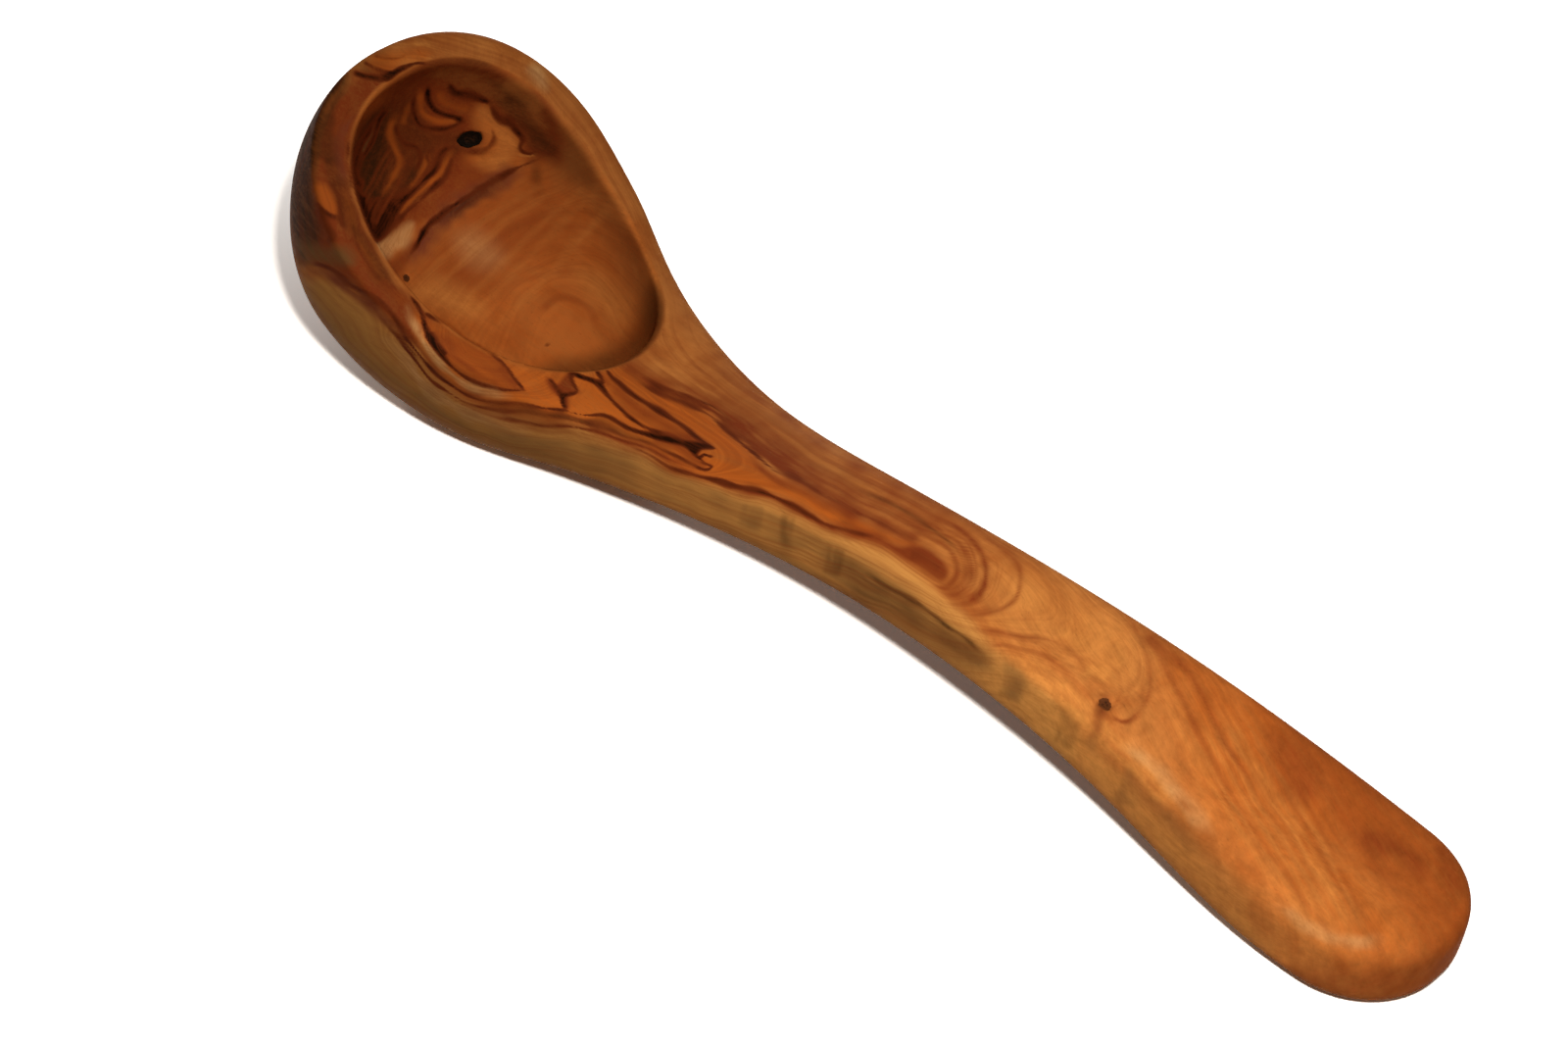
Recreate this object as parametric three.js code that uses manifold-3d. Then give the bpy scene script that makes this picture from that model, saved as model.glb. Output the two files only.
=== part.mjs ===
// Hand-carved olive-wood ladle, lying as it rests on a table: on the heel of its bowl and the end of its handle.
// Millimetres, +Z up, +X from the bowl towards the handle's end, mirror plane at Y = 0.
// The ladle is carved from one piece of wood, so bowl, neck and handle are one solid.
// The dead knots in it are pieces of their own: each is a plug in a pocket of the body.

import * as THREE from 'three';
import { mergeVertices } from 'three/addons/utils/BufferGeometryUtils.js';
import Module from 'manifold-3d';

const wasm = await Module();
wasm.setup();

// Sections of the body, from the tip of the bowl's rim to the end of the handle.
// along and top place a point of the top line, half is half the width there,
// and thick is measured down from the top line, square to it.
const TIP = { along: 0, top: 66.4, half: 35, thick: 39 };
const RIM_FRONT = { along: 14.5, top: 54.2, half: 33.4, thick: 40.5 };
const BOWL_WIDEST = { along: 30, top: 41, half: 32.6, thick: 42 };
const BOWL_BACK = { along: 46, top: 32, half: 28.4, thick: 35 };
const BOWL_ROOT = { along: 66, top: 26.8, half: 21, thick: 23 };
const NECK = { along: 95, top: 24.2, half: 14, thick: 15.6 };
const WAIST = { along: 130, top: 27.4, half: 10.9, thick: 16.2 };
const CREST = { along: 168, top: 27.8, half: 12.1, thick: 15.6 };
const GRIP = { along: 204, top: 25.1, half: 14.2, thick: 18 };
const GRIP_END = { along: 236, top: 18.9, half: 16.8, thick: 18.6 };
const HANDLE_END = { along: 262.5, top: 15.3, half: 15.7, thick: 14.8 };
const SECTIONS = [
  TIP, RIM_FRONT, BOWL_WIDEST, BOWL_BACK, BOWL_ROOT, NECK, WAIST, CREST, GRIP, GRIP_END, HANDLE_END,
];

// Rounded ends of the body, measured along the top line, and the powers of their curves.
const TIP_LENGTH = 36.5;
const TIP_POWER = 2.15;
const TIP_DEPTH_POWER = 1.6;
const END_LENGTH = 16.5;
const END_POWER = 2.1;
const EDGE_POWER = 4;

// Section shape: how far the widest line lies under the bowl's rim, and how square the section is.
const RIM_DROP = 3.5;
const BOWL_TOP_POWER = 3.5;
const BOWL_LOW_POWER = 3.3;
const HANDLE_TOP_POWER = 4.5;
const HANDLE_LOW_POWER = 4;
const BLEND_FROM = 2.5;
const BLEND_OVER = 2.2;

// Hollow of the bowl: an egg-shaped outline on the rim, measured along the top line from the tip.
const HOLLOW_MIDDLE = 38.8;
const HOLLOW_FRONT = 31.3;
const HOLLOW_BACK = 41.2;
const HOLLOW_HALF = 25.3;
const HOLLOW_FRONT_POWER = 2.3;
const HOLLOW_BACK_POWER = 2;
const HOLLOW_DEPTH = 33;
const HOLLOW_DEPTH_POWER = 2.2;
const RIM_ROUND = 2;
const CUT_ABOVE = 7;

// Dead knots. Those in the bowl are placed by bearing and share of the way from the hollow's floor to its edge.
const KNOT_CLEARANCE = 0.3;
const KNOT_STAND = 4;
const KNOT_TAPER = 0.75;
const BOWL_KNOT = { bearing: 130, reach: 0.83, long: 2.9, short: 1.9, deep: 4 };
const PIN_KNOT = { bearing: 259, reach: 0.27, long: 0.9, short: 0.8, deep: 3 };
const HANDLE_KNOT = { station: 207.5, side: -8.6, long: 1.5, short: 1.2, deep: 4 };

// Fineness of the skins.
const SIDES = 40;
const TIP_RINGS = 10;
const BODY_RINGS = 38;
const END_RINGS = 10;
const HOLLOW_RINGS = 10;
const ROUND_RINGS = 4;
const KNOT_SIDES = 20;
const TABLE_BLOCK = 700;

// Smooth law through one value per section: a natural cubic spline over the section's number.
function naturalSpline(values) {
  const last = values.length - 1;
  const bend = new Array(values.length).fill(0);
  const share = new Array(values.length).fill(0);
  const rest = new Array(values.length).fill(0);
  for (let i = 1; i < last; i += 1) {
    const pivot = 4 - share[i - 1];
    share[i] = 1 / pivot;
    rest[i] = (6 * (values[i + 1] - 2 * values[i] + values[i - 1]) - rest[i - 1]) / pivot;
  }
  for (let i = last - 1; i > 0; i -= 1) {
    bend[i] = rest[i] - share[i] * bend[i + 1];
  }
  const locate = (u) => Math.min(Math.max(Math.floor(u), 0), last - 1);
  const value = (u) => {
    const i = locate(u);
    const t = u - i;
    const h = 1 - t;
    const straight = h * values[i] + t * values[i + 1];
    return straight + ((h ** 3 - h) * bend[i] + (t ** 3 - t) * bend[i + 1]) / 6;
  };
  const slope = (u) => {
    const i = locate(u);
    const t = u - i;
    const h = 1 - t;
    return values[i + 1] - values[i] + ((1 - 3 * h * h) * bend[i] + (3 * t * t - 1) * bend[i + 1]) / 6;
  };
  return { value, slope };
}

const alongLaw = naturalSpline(SECTIONS.map((section) => section.along));
const topLaw = naturalSpline(SECTIONS.map((section) => section.top));
const halfLaw = naturalSpline(SECTIONS.map((section) => section.half));
const thickLaw = naturalSpline(SECTIONS.map((section) => section.thick));

// Length run along the top line, from the tip, at fine steps of the section number.
const STEPS_PER_SECTION = 100;
const run = [0];
for (let i = 1; i <= (SECTIONS.length - 1) * STEPS_PER_SECTION; i += 1) {
  const before = (i - 1) / STEPS_PER_SECTION;
  const here = i / STEPS_PER_SECTION;
  const step = Math.hypot(
    alongLaw.value(here) - alongLaw.value(before),
    topLaw.value(here) - topLaw.value(before),
  );
  run.push(run[i - 1] + step);
}
const topLength = run[run.length - 1];

// Section number at a length along the top line.
function sectionAt(length) {
  const wanted = Math.min(Math.max(length, 0), topLength);
  let i = 1;
  while (i < run.length - 1 && run[i] < wanted) {
    i += 1;
  }
  return (i - 1 + (wanted - run[i - 1]) / (run[i] - run[i - 1])) / STEPS_PER_SECTION;
}

// Point at a length along the top line, moved sideways and up, square to the line.
function place(length, side, up) {
  const u = sectionAt(length);
  const dx = alongLaw.slope(u);
  const dz = topLaw.slope(u);
  const size = Math.hypot(dx, dz);
  return new THREE.Vector3(alongLaw.value(u) - (up * dz) / size, side, topLaw.value(u) + (up * dx) / size);
}

function signedPower(value, power) {
  return Math.sign(value) * Math.abs(value) ** power;
}

// Falls from 1 to 0 in a rounded curve as the share goes from 0 to 1.
function roundedEnd(share, power) {
  const held = Math.min(Math.max(share, 0), 1);
  return (1 - held ** power) ** (1 / power);
}

// One ring of the body: a squared oval, with its own height above and depth below its widest line.
function bodyRing(length) {
  const u = sectionAt(length);
  const toTip = (TIP_LENGTH - length) / TIP_LENGTH;
  const toEnd = (length - (topLength - END_LENGTH)) / END_LENGTH;
  const blend = THREE.MathUtils.smoothstep(u, BLEND_FROM, BLEND_FROM + BLEND_OVER);
  const thick = thickLaw.value(u);
  const middle = THREE.MathUtils.lerp(RIM_DROP, thick / 2, blend);
  const half = halfLaw.value(u) * roundedEnd(toTip, TIP_POWER) * roundedEnd(toEnd, END_POWER);
  const above = middle * roundedEnd(toTip, EDGE_POWER) * roundedEnd(toEnd, EDGE_POWER);
  const below = (thick - middle) * roundedEnd(toTip, TIP_DEPTH_POWER) * roundedEnd(toEnd, EDGE_POWER);
  const topPower = THREE.MathUtils.lerp(BOWL_TOP_POWER, HANDLE_TOP_POWER, blend);
  const lowPower = THREE.MathUtils.lerp(BOWL_LOW_POWER, HANDLE_LOW_POWER, blend);
  const ring = [];
  for (let k = 0; k < SIDES; k += 1) {
    const angle = (2 * Math.PI * k) / SIDES;
    const power = 2 / (Math.sin(angle) >= 0 ? topPower : lowPower);
    const height = Math.sin(angle) >= 0 ? above : below;
    const side = half * signedPower(Math.cos(angle), power);
    ring.push(place(length, side, -middle + height * signedPower(Math.sin(angle), power)));
  }
  return { ring, centre: place(length, 0, -middle) };
}

// One ring of the hollow's cutter: the egg shape at a share of its size, widened evenly, at a height.
function hollowRing(share, widen, up) {
  const ring = [];
  for (let k = 0; k < SIDES; k += 1) {
    ring.push(hollowPoint((2 * Math.PI * k) / SIDES, share, widen, up));
  }
  return ring;
}

function hollowPoint(angle, share, widen, up) {
  const ahead = Math.cos(angle) > 0;
  const power = 2 / (ahead ? HOLLOW_BACK_POWER : HOLLOW_FRONT_POWER);
  const reach = (ahead ? HOLLOW_BACK : HOLLOW_FRONT) * share + widen;
  const length = HOLLOW_MIDDLE + reach * signedPower(Math.cos(angle), power);
  return place(length, (HOLLOW_HALF * share + widen) * signedPower(Math.sin(angle), power), up);
}

// Height of the hollow's surface at a share of the way from its floor to its edge.
function hollowHeight(share) {
  return -RIM_ROUND - (HOLLOW_DEPTH - RIM_ROUND) * roundedEnd(share, HOLLOW_DEPTH_POWER);
}

// Closed skin over rings of equal count, with a point at each end.
function closedSkin(rings, firstPoint, lastPoint) {
  const points = [firstPoint, ...rings.flat(), lastPoint];
  const count = rings[0].length;
  const faces = [];
  const at = (i, k) => 1 + i * count + (k % count);
  for (let k = 0; k < count; k += 1) {
    faces.push(0, at(0, k + 1), at(0, k));
    for (let i = 0; i < rings.length - 1; i += 1) {
      faces.push(at(i, k), at(i, k + 1), at(i + 1, k + 1));
      faces.push(at(i, k), at(i + 1, k + 1), at(i + 1, k));
    }
    faces.push(points.length - 1, at(rings.length - 1, k), at(rings.length - 1, k + 1));
  }
  const geometry = new THREE.BufferGeometry().setFromPoints(points);
  geometry.setIndex(faces);
  return geometry;
}

function toSolid(geometry) {
  const bare = geometry.clone();
  bare.deleteAttribute('normal');
  bare.deleteAttribute('uv');
  const merged = mergeVertices(bare, 1e-4);
  return new wasm.Manifold(new wasm.Mesh({
    numProp: 3,
    vertProperties: new Float32Array(merged.attributes.position.array),
    triVerts: new Uint32Array(merged.index.array),
  }));
}

function toMesh(name, solid, material) {
  const result = solid.getMesh();
  const geometry = new THREE.BufferGeometry();
  geometry.setAttribute('position', new THREE.BufferAttribute(new Float32Array(result.vertProperties), 3));
  geometry.setIndex(new THREE.BufferAttribute(new Uint32Array(result.triVerts), 1));
  geometry.computeVertexNormals();
  const mesh = new THREE.Mesh(geometry, material);
  mesh.name = name;
  return mesh;
}

// Whole body before anything is cut: bowl, neck and handle in one skin.
function bodyBlank() {
  const lengths = [];
  for (let i = 1; i <= TIP_RINGS; i += 1) {
    lengths.push(TIP_LENGTH * (1 - Math.cos((Math.PI * i) / (2 * TIP_RINGS))));
  }
  const straight = topLength - END_LENGTH - TIP_LENGTH;
  for (let i = 1; i <= BODY_RINGS; i += 1) {
    lengths.push(TIP_LENGTH + (straight * i) / BODY_RINGS);
  }
  for (let i = 1; i < END_RINGS; i += 1) {
    lengths.push(topLength - END_LENGTH + END_LENGTH * Math.sin((Math.PI * i) / (2 * END_RINGS)));
  }
  const rings = lengths.map((length) => bodyRing(length).ring);
  return toSolid(closedSkin(rings, bodyRing(0).centre, bodyRing(topLength).centre));
}

// Cutter for the hollow: floor, walls, rounded inner edge, and room above the rim.
function hollowCutter() {
  const rings = [];
  for (let i = 1; i <= HOLLOW_RINGS; i += 1) {
    const share = Math.sin((Math.PI * i) / (2 * HOLLOW_RINGS));
    rings.push(hollowRing(share, 0, hollowHeight(share)));
  }
  for (let i = 1; i <= ROUND_RINGS; i += 1) {
    const turn = (Math.PI * i) / (2 * ROUND_RINGS);
    rings.push(hollowRing(1, RIM_ROUND * (1 - Math.cos(turn)), RIM_ROUND * (Math.sin(turn) - 1)));
  }
  rings.push(hollowRing(1, RIM_ROUND, CUT_ABOVE));
  const floor = place(HOLLOW_MIDDLE, 0, hollowHeight(0));
  return toSolid(closedSkin(rings, floor, place(HOLLOW_MIDDLE, 0, CUT_ABOVE)));
}

// Tapered oval plug along an axis that points out of the wood, starting at a depth under a surface point.
function knotPlug(point, axis, knot, grow) {
  const height = knot.deep + grow + KNOT_STAND;
  const taper = KNOT_TAPER;
  const plug = new THREE.CylinderGeometry(1, taper, height, KNOT_SIDES);
  plug.translate(0, height / 2 - knot.deep - grow, 0);
  plug.scale(knot.long + grow, 1, knot.short + grow);
  plug.applyQuaternion(new THREE.Quaternion().setFromUnitVectors(new THREE.Vector3(0, 1, 0), axis));
  plug.translate(point.x, point.y, point.z);
  return toSolid(plug);
}

// Point and outward axis of a knot in the hollow's wall.
function hollowSpot(knot) {
  const bearing = THREE.MathUtils.degToRad(knot.bearing);
  const point = hollowPoint(bearing, knot.reach, 0, hollowHeight(knot.reach));
  const across = hollowPoint(bearing, knot.reach - 0.02, 0, hollowHeight(knot.reach - 0.02));
  const beside = hollowPoint(bearing + 0.02, knot.reach, 0, hollowHeight(knot.reach));
  const axis = new THREE.Vector3().crossVectors(across.sub(point), beside.sub(point)).normalize();
  const inward = place(HOLLOW_MIDDLE, 0, 0).sub(point);
  return { point, axis: axis.dot(inward) < 0 ? axis.negate() : axis };
}

// Point and outward axis of a knot in the handle's flat top.
function handleSpot(knot) {
  const point = place(knot.station, knot.side, 0);
  const axis = place(knot.station, knot.side, 1).sub(point).normalize();
  return { point, axis };
}

const tableBlock = new THREE.BoxGeometry(TABLE_BLOCK, TABLE_BLOCK, TABLE_BLOCK);
tableBlock.translate(0, 0, -TABLE_BLOCK / 2);

let body = bodyBlank().subtract(hollowCutter()).subtract(toSolid(tableBlock));
const whole = body;

const knots = [
  { name: 'bowl_knot', size: BOWL_KNOT, spot: hollowSpot(BOWL_KNOT) },
  { name: 'bowl_pin_knot', size: PIN_KNOT, spot: hollowSpot(PIN_KNOT) },
  { name: 'handle_knot', size: HANDLE_KNOT, spot: handleSpot(HANDLE_KNOT) },
];

const oliveWood = new THREE.MeshStandardMaterial({ color: 0xa8703c, roughness: 0.45, metalness: 0 });
const ladle = new THREE.Group();
ladle.name = 'olive_wood_ladle';

for (const { name, size, spot } of knots) {
  const knotWood = new THREE.MeshStandardMaterial({ color: 0x24140c, roughness: 0.6, metalness: 0 });
  const plug = whole.intersect(knotPlug(spot.point, spot.axis, size, 0));
  body = body.subtract(knotPlug(spot.point, spot.axis, size, KNOT_CLEARANCE));
  ladle.add(toMesh(name, plug, knotWood));
}
ladle.add(toMesh('ladle_body', body, oliveWood));

// Origin at the middle of the ladle's footprint, on the table.
const box = new THREE.Box3().setFromObject(ladle);
ladle.position.set(-(box.min.x + box.max.x) / 2, -(box.min.y + box.max.y) / 2, -box.min.z);

export default ladle;
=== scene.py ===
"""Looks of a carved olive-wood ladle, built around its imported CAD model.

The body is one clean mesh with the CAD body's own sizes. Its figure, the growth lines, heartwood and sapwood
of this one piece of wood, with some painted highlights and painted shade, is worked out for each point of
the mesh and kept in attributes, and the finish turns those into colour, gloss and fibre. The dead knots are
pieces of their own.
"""
import logging
import math
from dataclasses import dataclass, field
from enum import Enum
from typing import Sequence

import bpy
import numpy as np
from mathutils import Matrix, Vector
from mathutils.bvhtree import BVHTree


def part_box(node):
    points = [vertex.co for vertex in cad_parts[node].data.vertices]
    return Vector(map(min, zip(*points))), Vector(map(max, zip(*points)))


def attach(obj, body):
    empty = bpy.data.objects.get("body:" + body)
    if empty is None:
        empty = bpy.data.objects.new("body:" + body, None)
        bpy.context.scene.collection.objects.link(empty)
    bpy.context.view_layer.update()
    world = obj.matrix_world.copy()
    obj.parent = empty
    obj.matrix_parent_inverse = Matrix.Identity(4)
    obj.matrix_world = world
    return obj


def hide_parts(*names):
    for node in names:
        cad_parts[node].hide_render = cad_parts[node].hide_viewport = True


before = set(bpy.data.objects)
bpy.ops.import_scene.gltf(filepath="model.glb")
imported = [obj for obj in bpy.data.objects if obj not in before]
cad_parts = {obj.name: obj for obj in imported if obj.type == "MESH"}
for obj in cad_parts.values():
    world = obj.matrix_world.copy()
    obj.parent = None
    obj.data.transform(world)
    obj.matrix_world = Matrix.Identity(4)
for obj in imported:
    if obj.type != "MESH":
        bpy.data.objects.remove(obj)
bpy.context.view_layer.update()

LOG = logging.getLogger("ladle")
MM = 0.001
BODY_NODE = "ladle_body"
ROOT = "root"

Colour = tuple[float, float, float]
Pixel = tuple[float, float]
Lengths = np.ndarray | float


class Slot(Enum):
    """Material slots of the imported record."""

    OLIVE_WOOD = "olive_wood"
    DEAD_KNOT = "dead_knot"


class Tone(Enum):
    """Colours of the figure, from the lowest glaze to the top one.

    The value is the attribute, and the component of it, that hold the tone's strength.
    """

    SAND = ("figure_soft", 0)
    STAIN = ("figure_soft", 1)
    AMBER = ("figure_soft", 2)
    HONEY = ("figure_glow", 0)
    PALE = ("figure_glow", 1)
    PLUM = ("figure_glow", 2)
    RUSSET = ("figure_deep", 0)
    UMBER = ("figure_deep", 1)
    DARK = ("figure_deep", 2)


def srgb(red: int, green: int, blue: int) -> Colour:
    """Turns a colour as a screen shows it, 0 to 255, into the linear values that shaders take."""
    shares = [value / 255 for value in (red, green, blue)]
    linear = [v / 12.92 if v <= 0.04045 else ((v + 0.055) / 1.055) ** 2.4 for v in shares]
    return (linear[0], linear[1], linear[2])


def smooth_step(value: np.ndarray, low: float, high: float) -> np.ndarray:
    """Rises smoothly from 0 at low to 1 at high."""
    share = np.clip((value - low) / (high - low), 0, 1)
    return share * share * (3 - 2 * share)


def signed_power(value: np.ndarray, power: np.ndarray) -> np.ndarray:
    """Raises the size of a value to a power and keeps its sign."""
    return np.sign(value) * np.abs(value) ** power


def rounded_end(share: np.ndarray, power: float) -> np.ndarray:
    """Falls from 1 to 0 in a rounded curve as the share goes from 0 to 1."""
    held = np.clip(share, 0, 1)
    return (1 - held ** power) ** (1 / power)


def new_object(name: str, mesh: bpy.types.Mesh) -> bpy.types.Object:
    """Puts a mesh into the scene under a name."""
    piece = bpy.data.objects.new(name, mesh)
    bpy.context.scene.collection.objects.link(piece)
    return piece


def mesh_points(mesh: bpy.types.Mesh, kind: str = "co") -> np.ndarray:
    """Gives a mesh's points, or with the kind "normal" the normals there, as rows of x, y and z."""
    flat = np.zeros(len(mesh.vertices) * 3, np.float32)
    mesh.vertices.foreach_get(kind, flat)
    return flat.reshape(-1, 3).astype(float)


def move_points(mesh: bpy.types.Mesh, points: np.ndarray) -> None:
    """Sets a mesh's points from rows of x, y and z."""
    mesh.vertices.foreach_set("co", points.astype(np.float32).ravel())
    mesh.update()


def closed_skin(name: str, rings: np.ndarray, first: np.ndarray, last: np.ndarray) -> bpy.types.Mesh:
    """Makes a closed mesh over rings of equal count, with a point at each end.

    Args:
        name: Name of the mesh.
        rings: Points in metres, ring by ring, of shape (rings, sides, 3).
        first: Point that closes the first ring.
        last: Point that closes the last ring.

    Returns:
        The mesh, with its faces turned outwards.
    """
    count, sides, _ = rings.shape
    points = np.concatenate([first[None], rings.reshape(-1, 3), last[None]])
    end = len(points) - 1
    faces = []
    for k in range(sides):
        after = (k + 1) % sides
        faces.append((0, 1 + after, 1 + k))
        for i in range(count - 1):
            low = 1 + i * sides
            faces.append((low + k, low + after, low + sides + after, low + sides + k))
        faces.append((end, end - sides + k, end - sides + after))
    mesh = bpy.data.meshes.new(name)
    mesh.from_pydata(points.tolist(), [], faces)
    mesh.validate()
    return mesh


class WaveNoise:
    """Smooth noise made of a few seeded waves, between about -1 and 1."""

    WAVES = 9

    def __init__(self, seed: int, lengths: Sequence[float]) -> None:
        """Draws the waves.

        Args:
            seed: Start of the random draws.
            lengths: Wave length along each axis.
        """
        draws = np.random.default_rng(seed)
        turns = draws.normal(size=(self.WAVES, len(lengths)))
        self.steps = turns * 2 * math.pi / np.asarray(lengths, float)
        self.starts = draws.uniform(0, 2 * math.pi, self.WAVES)

    def __call__(self, points: np.ndarray) -> np.ndarray:
        """Gives the noise at rows of points."""
        return np.sin(points @ self.steps.T + self.starts).sum(1) / math.sqrt(self.WAVES)


class NaturalSpline:
    """Smooth law through one value per section: a natural cubic spline over the section's number."""

    def __init__(self, values: Sequence[float]) -> None:
        """Solves the spline's bends from its values."""
        self.values = np.asarray(values, float)
        count = len(self.values)
        bands = np.eye(count)
        rest = np.zeros(count)
        for i in range(1, count - 1):
            bands[i, i - 1:i + 2] = 1, 4, 1
            rest[i] = 6 * (self.values[i + 1] - 2 * self.values[i] + self.values[i - 1])
        self.bend = np.linalg.solve(bands, rest)

    def value(self, place: np.ndarray) -> np.ndarray:
        """Gives the law's value at section numbers."""
        i, t = self._locate(place)
        h = 1 - t
        straight = h * self.values[i] + t * self.values[i + 1]
        return straight + ((h ** 3 - h) * self.bend[i] + (t ** 3 - t) * self.bend[i + 1]) / 6

    def slope(self, place: np.ndarray) -> np.ndarray:
        """Gives the law's slope at section numbers."""
        i, t = self._locate(place)
        h = 1 - t
        straight = self.values[i + 1] - self.values[i]
        return straight + ((1 - 3 * h * h) * self.bend[i] + (3 * t * t - 1) * self.bend[i + 1]) / 6

    def _locate(self, place: np.ndarray) -> tuple[np.ndarray, np.ndarray]:
        """Gives the stretch that a section number lies in, and its share of it."""
        i = np.clip(np.floor(place).astype(int), 0, len(self.values) - 2)
        return i, place - i


@dataclass(frozen=True)
class Section:
    """Section of the body in mm: a point of the top line, half the width, and the thickness square to it."""

    along: float
    top: float
    half: float
    thick: float


@dataclass
class LadleShape:
    """Sizes of the carved body in mm, as in the CAD source, and the laws that follow from them."""

    sections: tuple[Section, ...] = (
        Section(0, 66.4, 35, 39),
        Section(14.5, 54.2, 33.4, 40.5),
        Section(30, 41, 32.6, 42),
        Section(46, 32, 28.4, 35),
        Section(66, 26.8, 21, 23),
        Section(95, 24.2, 14, 15.6),
        Section(130, 27.4, 10.9, 16.2),
        Section(168, 27.8, 12.1, 15.6),
        Section(204, 25.1, 14.2, 18),
        Section(236, 18.9, 16.8, 18.6),
        Section(262.5, 15.3, 15.7, 14.8),
    )
    tip_length: float = 36.5
    tip_power: float = 2.15
    tip_depth_power: float = 1.6
    end_length: float = 16.5
    end_power: float = 2.1
    edge_power: float = 4
    rim_drop: float = 3.5
    bowl_top_power: float = 3.5
    bowl_low_power: float = 3.3
    handle_top_power: float = 4.5
    handle_low_power: float = 4
    blend_from: float = 2.5
    blend_over: float = 2.2
    hollow_middle: float = 38.8
    hollow_front: float = 31.3
    hollow_back: float = 41.2
    hollow_half: float = 25.3
    hollow_front_power: float = 2.3
    hollow_back_power: float = 2
    hollow_depth: float = 33
    hollow_depth_power: float = 2.2
    rim_round: float = 2
    cut_above: float = 7
    steps_per_section: int = 100
    fit_rings: int = 60
    fit_sides: int = 40
    unroll_rounds: int = 12
    unroll_pull: float = 0.9
    edge_shares: tuple[float, float] = (1.025, 1.05)
    edge_inset: float = 0.98
    skin_reach: tuple[float, float] = (-5, -3.5)
    spot_step: float = 0.02
    shift: float = field(init=False, default=0)

    def __post_init__(self) -> None:
        """Makes the laws over the sections and sets the shift that lays the ladle on the CAD model."""
        self.along_law = NaturalSpline([section.along for section in self.sections])
        self.top_law = NaturalSpline([section.top for section in self.sections])
        self.half_law = NaturalSpline([section.half for section in self.sections])
        self.thick_law = NaturalSpline([section.thick for section in self.sections])
        last = len(self.sections) - 1
        self.stations = np.linspace(0, last, last * self.steps_per_section + 1)
        along = self.along_law.value(self.stations)
        top = self.top_law.value(self.stations)
        self.run = np.concatenate([[0], np.cumsum(np.hypot(np.diff(along), np.diff(top)))])
        self.length = float(self.run[-1])
        low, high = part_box(BODY_NODE)
        skin = self.outer_rings(self.fit_rings, self.fit_sides)
        self.shift = (low.x + high.x) / 2 / MM - (skin[..., 0].min() + skin[..., 0].max()) / 2

    def place(self, run: Lengths, side: Lengths, up: Lengths) -> np.ndarray:
        """Gives points at lengths along the top line, moved sideways and up, square to the line.

        Args:
            run: Lengths along the top line from the tip.
            side: Distances from the mirror plane.
            up: Heights above the top line, square to it.

        Returns:
            Points in mm in the frame of the CAD model, with the last axis for x, y and z.
        """
        run, side, up = np.broadcast_arrays(run, side, up)
        u = np.interp(run, self.run, self.stations)
        ahead = self.along_law.slope(u)
        rise = self.top_law.slope(u)
        size = np.hypot(ahead, rise)
        x = self.along_law.value(u) - up * rise / size + self.shift
        z = self.top_law.value(u) + up * ahead / size
        return np.stack([x, side, z], -1)

    def outer_rings(self, count: int, sides: int) -> np.ndarray:
        """Gives the rings of the whole body before anything is cut, in mm.

        Args:
            count: Rings along the middle stretch; the rounded ends get a third of it each.
            sides: Points of each ring.

        Returns:
            Points of shape (rings, sides, 3).
        """
        tip = np.linspace(0, math.pi / 2, count // 3)[1:]
        end = np.linspace(0, math.pi / 2, count // 3)[1:-1]
        run = np.concatenate([
            self.tip_length * (1 - np.cos(tip)),
            np.linspace(self.tip_length, self.length - self.end_length, count)[1:],
            self.length - self.end_length + self.end_length * np.sin(end),
        ])[:, None]
        u = np.interp(run, self.run, self.stations)
        to_tip = (self.tip_length - run) / self.tip_length
        to_end = (run - (self.length - self.end_length)) / self.end_length
        blend = smooth_step(u, self.blend_from, self.blend_from + self.blend_over)
        thick = self.thick_law.value(u)
        middle = self.rim_drop + (thick / 2 - self.rim_drop) * blend
        half = self.half_law.value(u) * rounded_end(to_tip, self.tip_power)
        half = half * rounded_end(to_end, self.end_power)
        edge = rounded_end(to_end, self.edge_power)
        above = middle * rounded_end(to_tip, self.edge_power) * edge
        below = (thick - middle) * rounded_end(to_tip, self.tip_depth_power) * edge
        top_power = self.bowl_top_power + (self.handle_top_power - self.bowl_top_power) * blend
        low_power = self.bowl_low_power + (self.handle_low_power - self.bowl_low_power) * blend
        angle = np.linspace(0, 2 * math.pi, sides, endpoint=False)[None]
        upper = np.sin(angle) >= 0
        power = 2 / np.where(upper, top_power, low_power)
        side = half * signed_power(np.cos(angle), power)
        up = -middle + np.where(upper, above, below) * signed_power(np.sin(angle), power)
        return self.place(run, side, up)

    def end_points(self) -> tuple[np.ndarray, np.ndarray]:
        """Gives the points that close the body's skin at the tip and at the handle's end."""
        last = self.sections[-1]
        return self.place(0, 0, -self.rim_drop), self.place(self.length, 0, -last.thick / 2)

    def hollow_point(self, angle: np.ndarray, share: np.ndarray, widen: float, up: np.ndarray) -> np.ndarray:
        """Gives points of the hollow's egg-shaped outline at a share of its size, widened, at a height."""
        back = np.cos(angle) > 0
        power = 2 / np.where(back, self.hollow_back_power, self.hollow_front_power)
        reach = np.where(back, self.hollow_back, self.hollow_front) * share + widen
        run = self.hollow_middle + reach * signed_power(np.cos(angle), power)
        side = (self.hollow_half * share + widen) * signed_power(np.sin(angle), power)
        return self.place(run, side, up)

    def hollow_height(self, share: np.ndarray) -> np.ndarray:
        """Gives the height of the hollow's surface at a share of the way from its floor to its edge."""
        deep = self.hollow_depth - self.rim_round
        return -self.rim_round - deep * rounded_end(share, self.hollow_depth_power)

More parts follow.
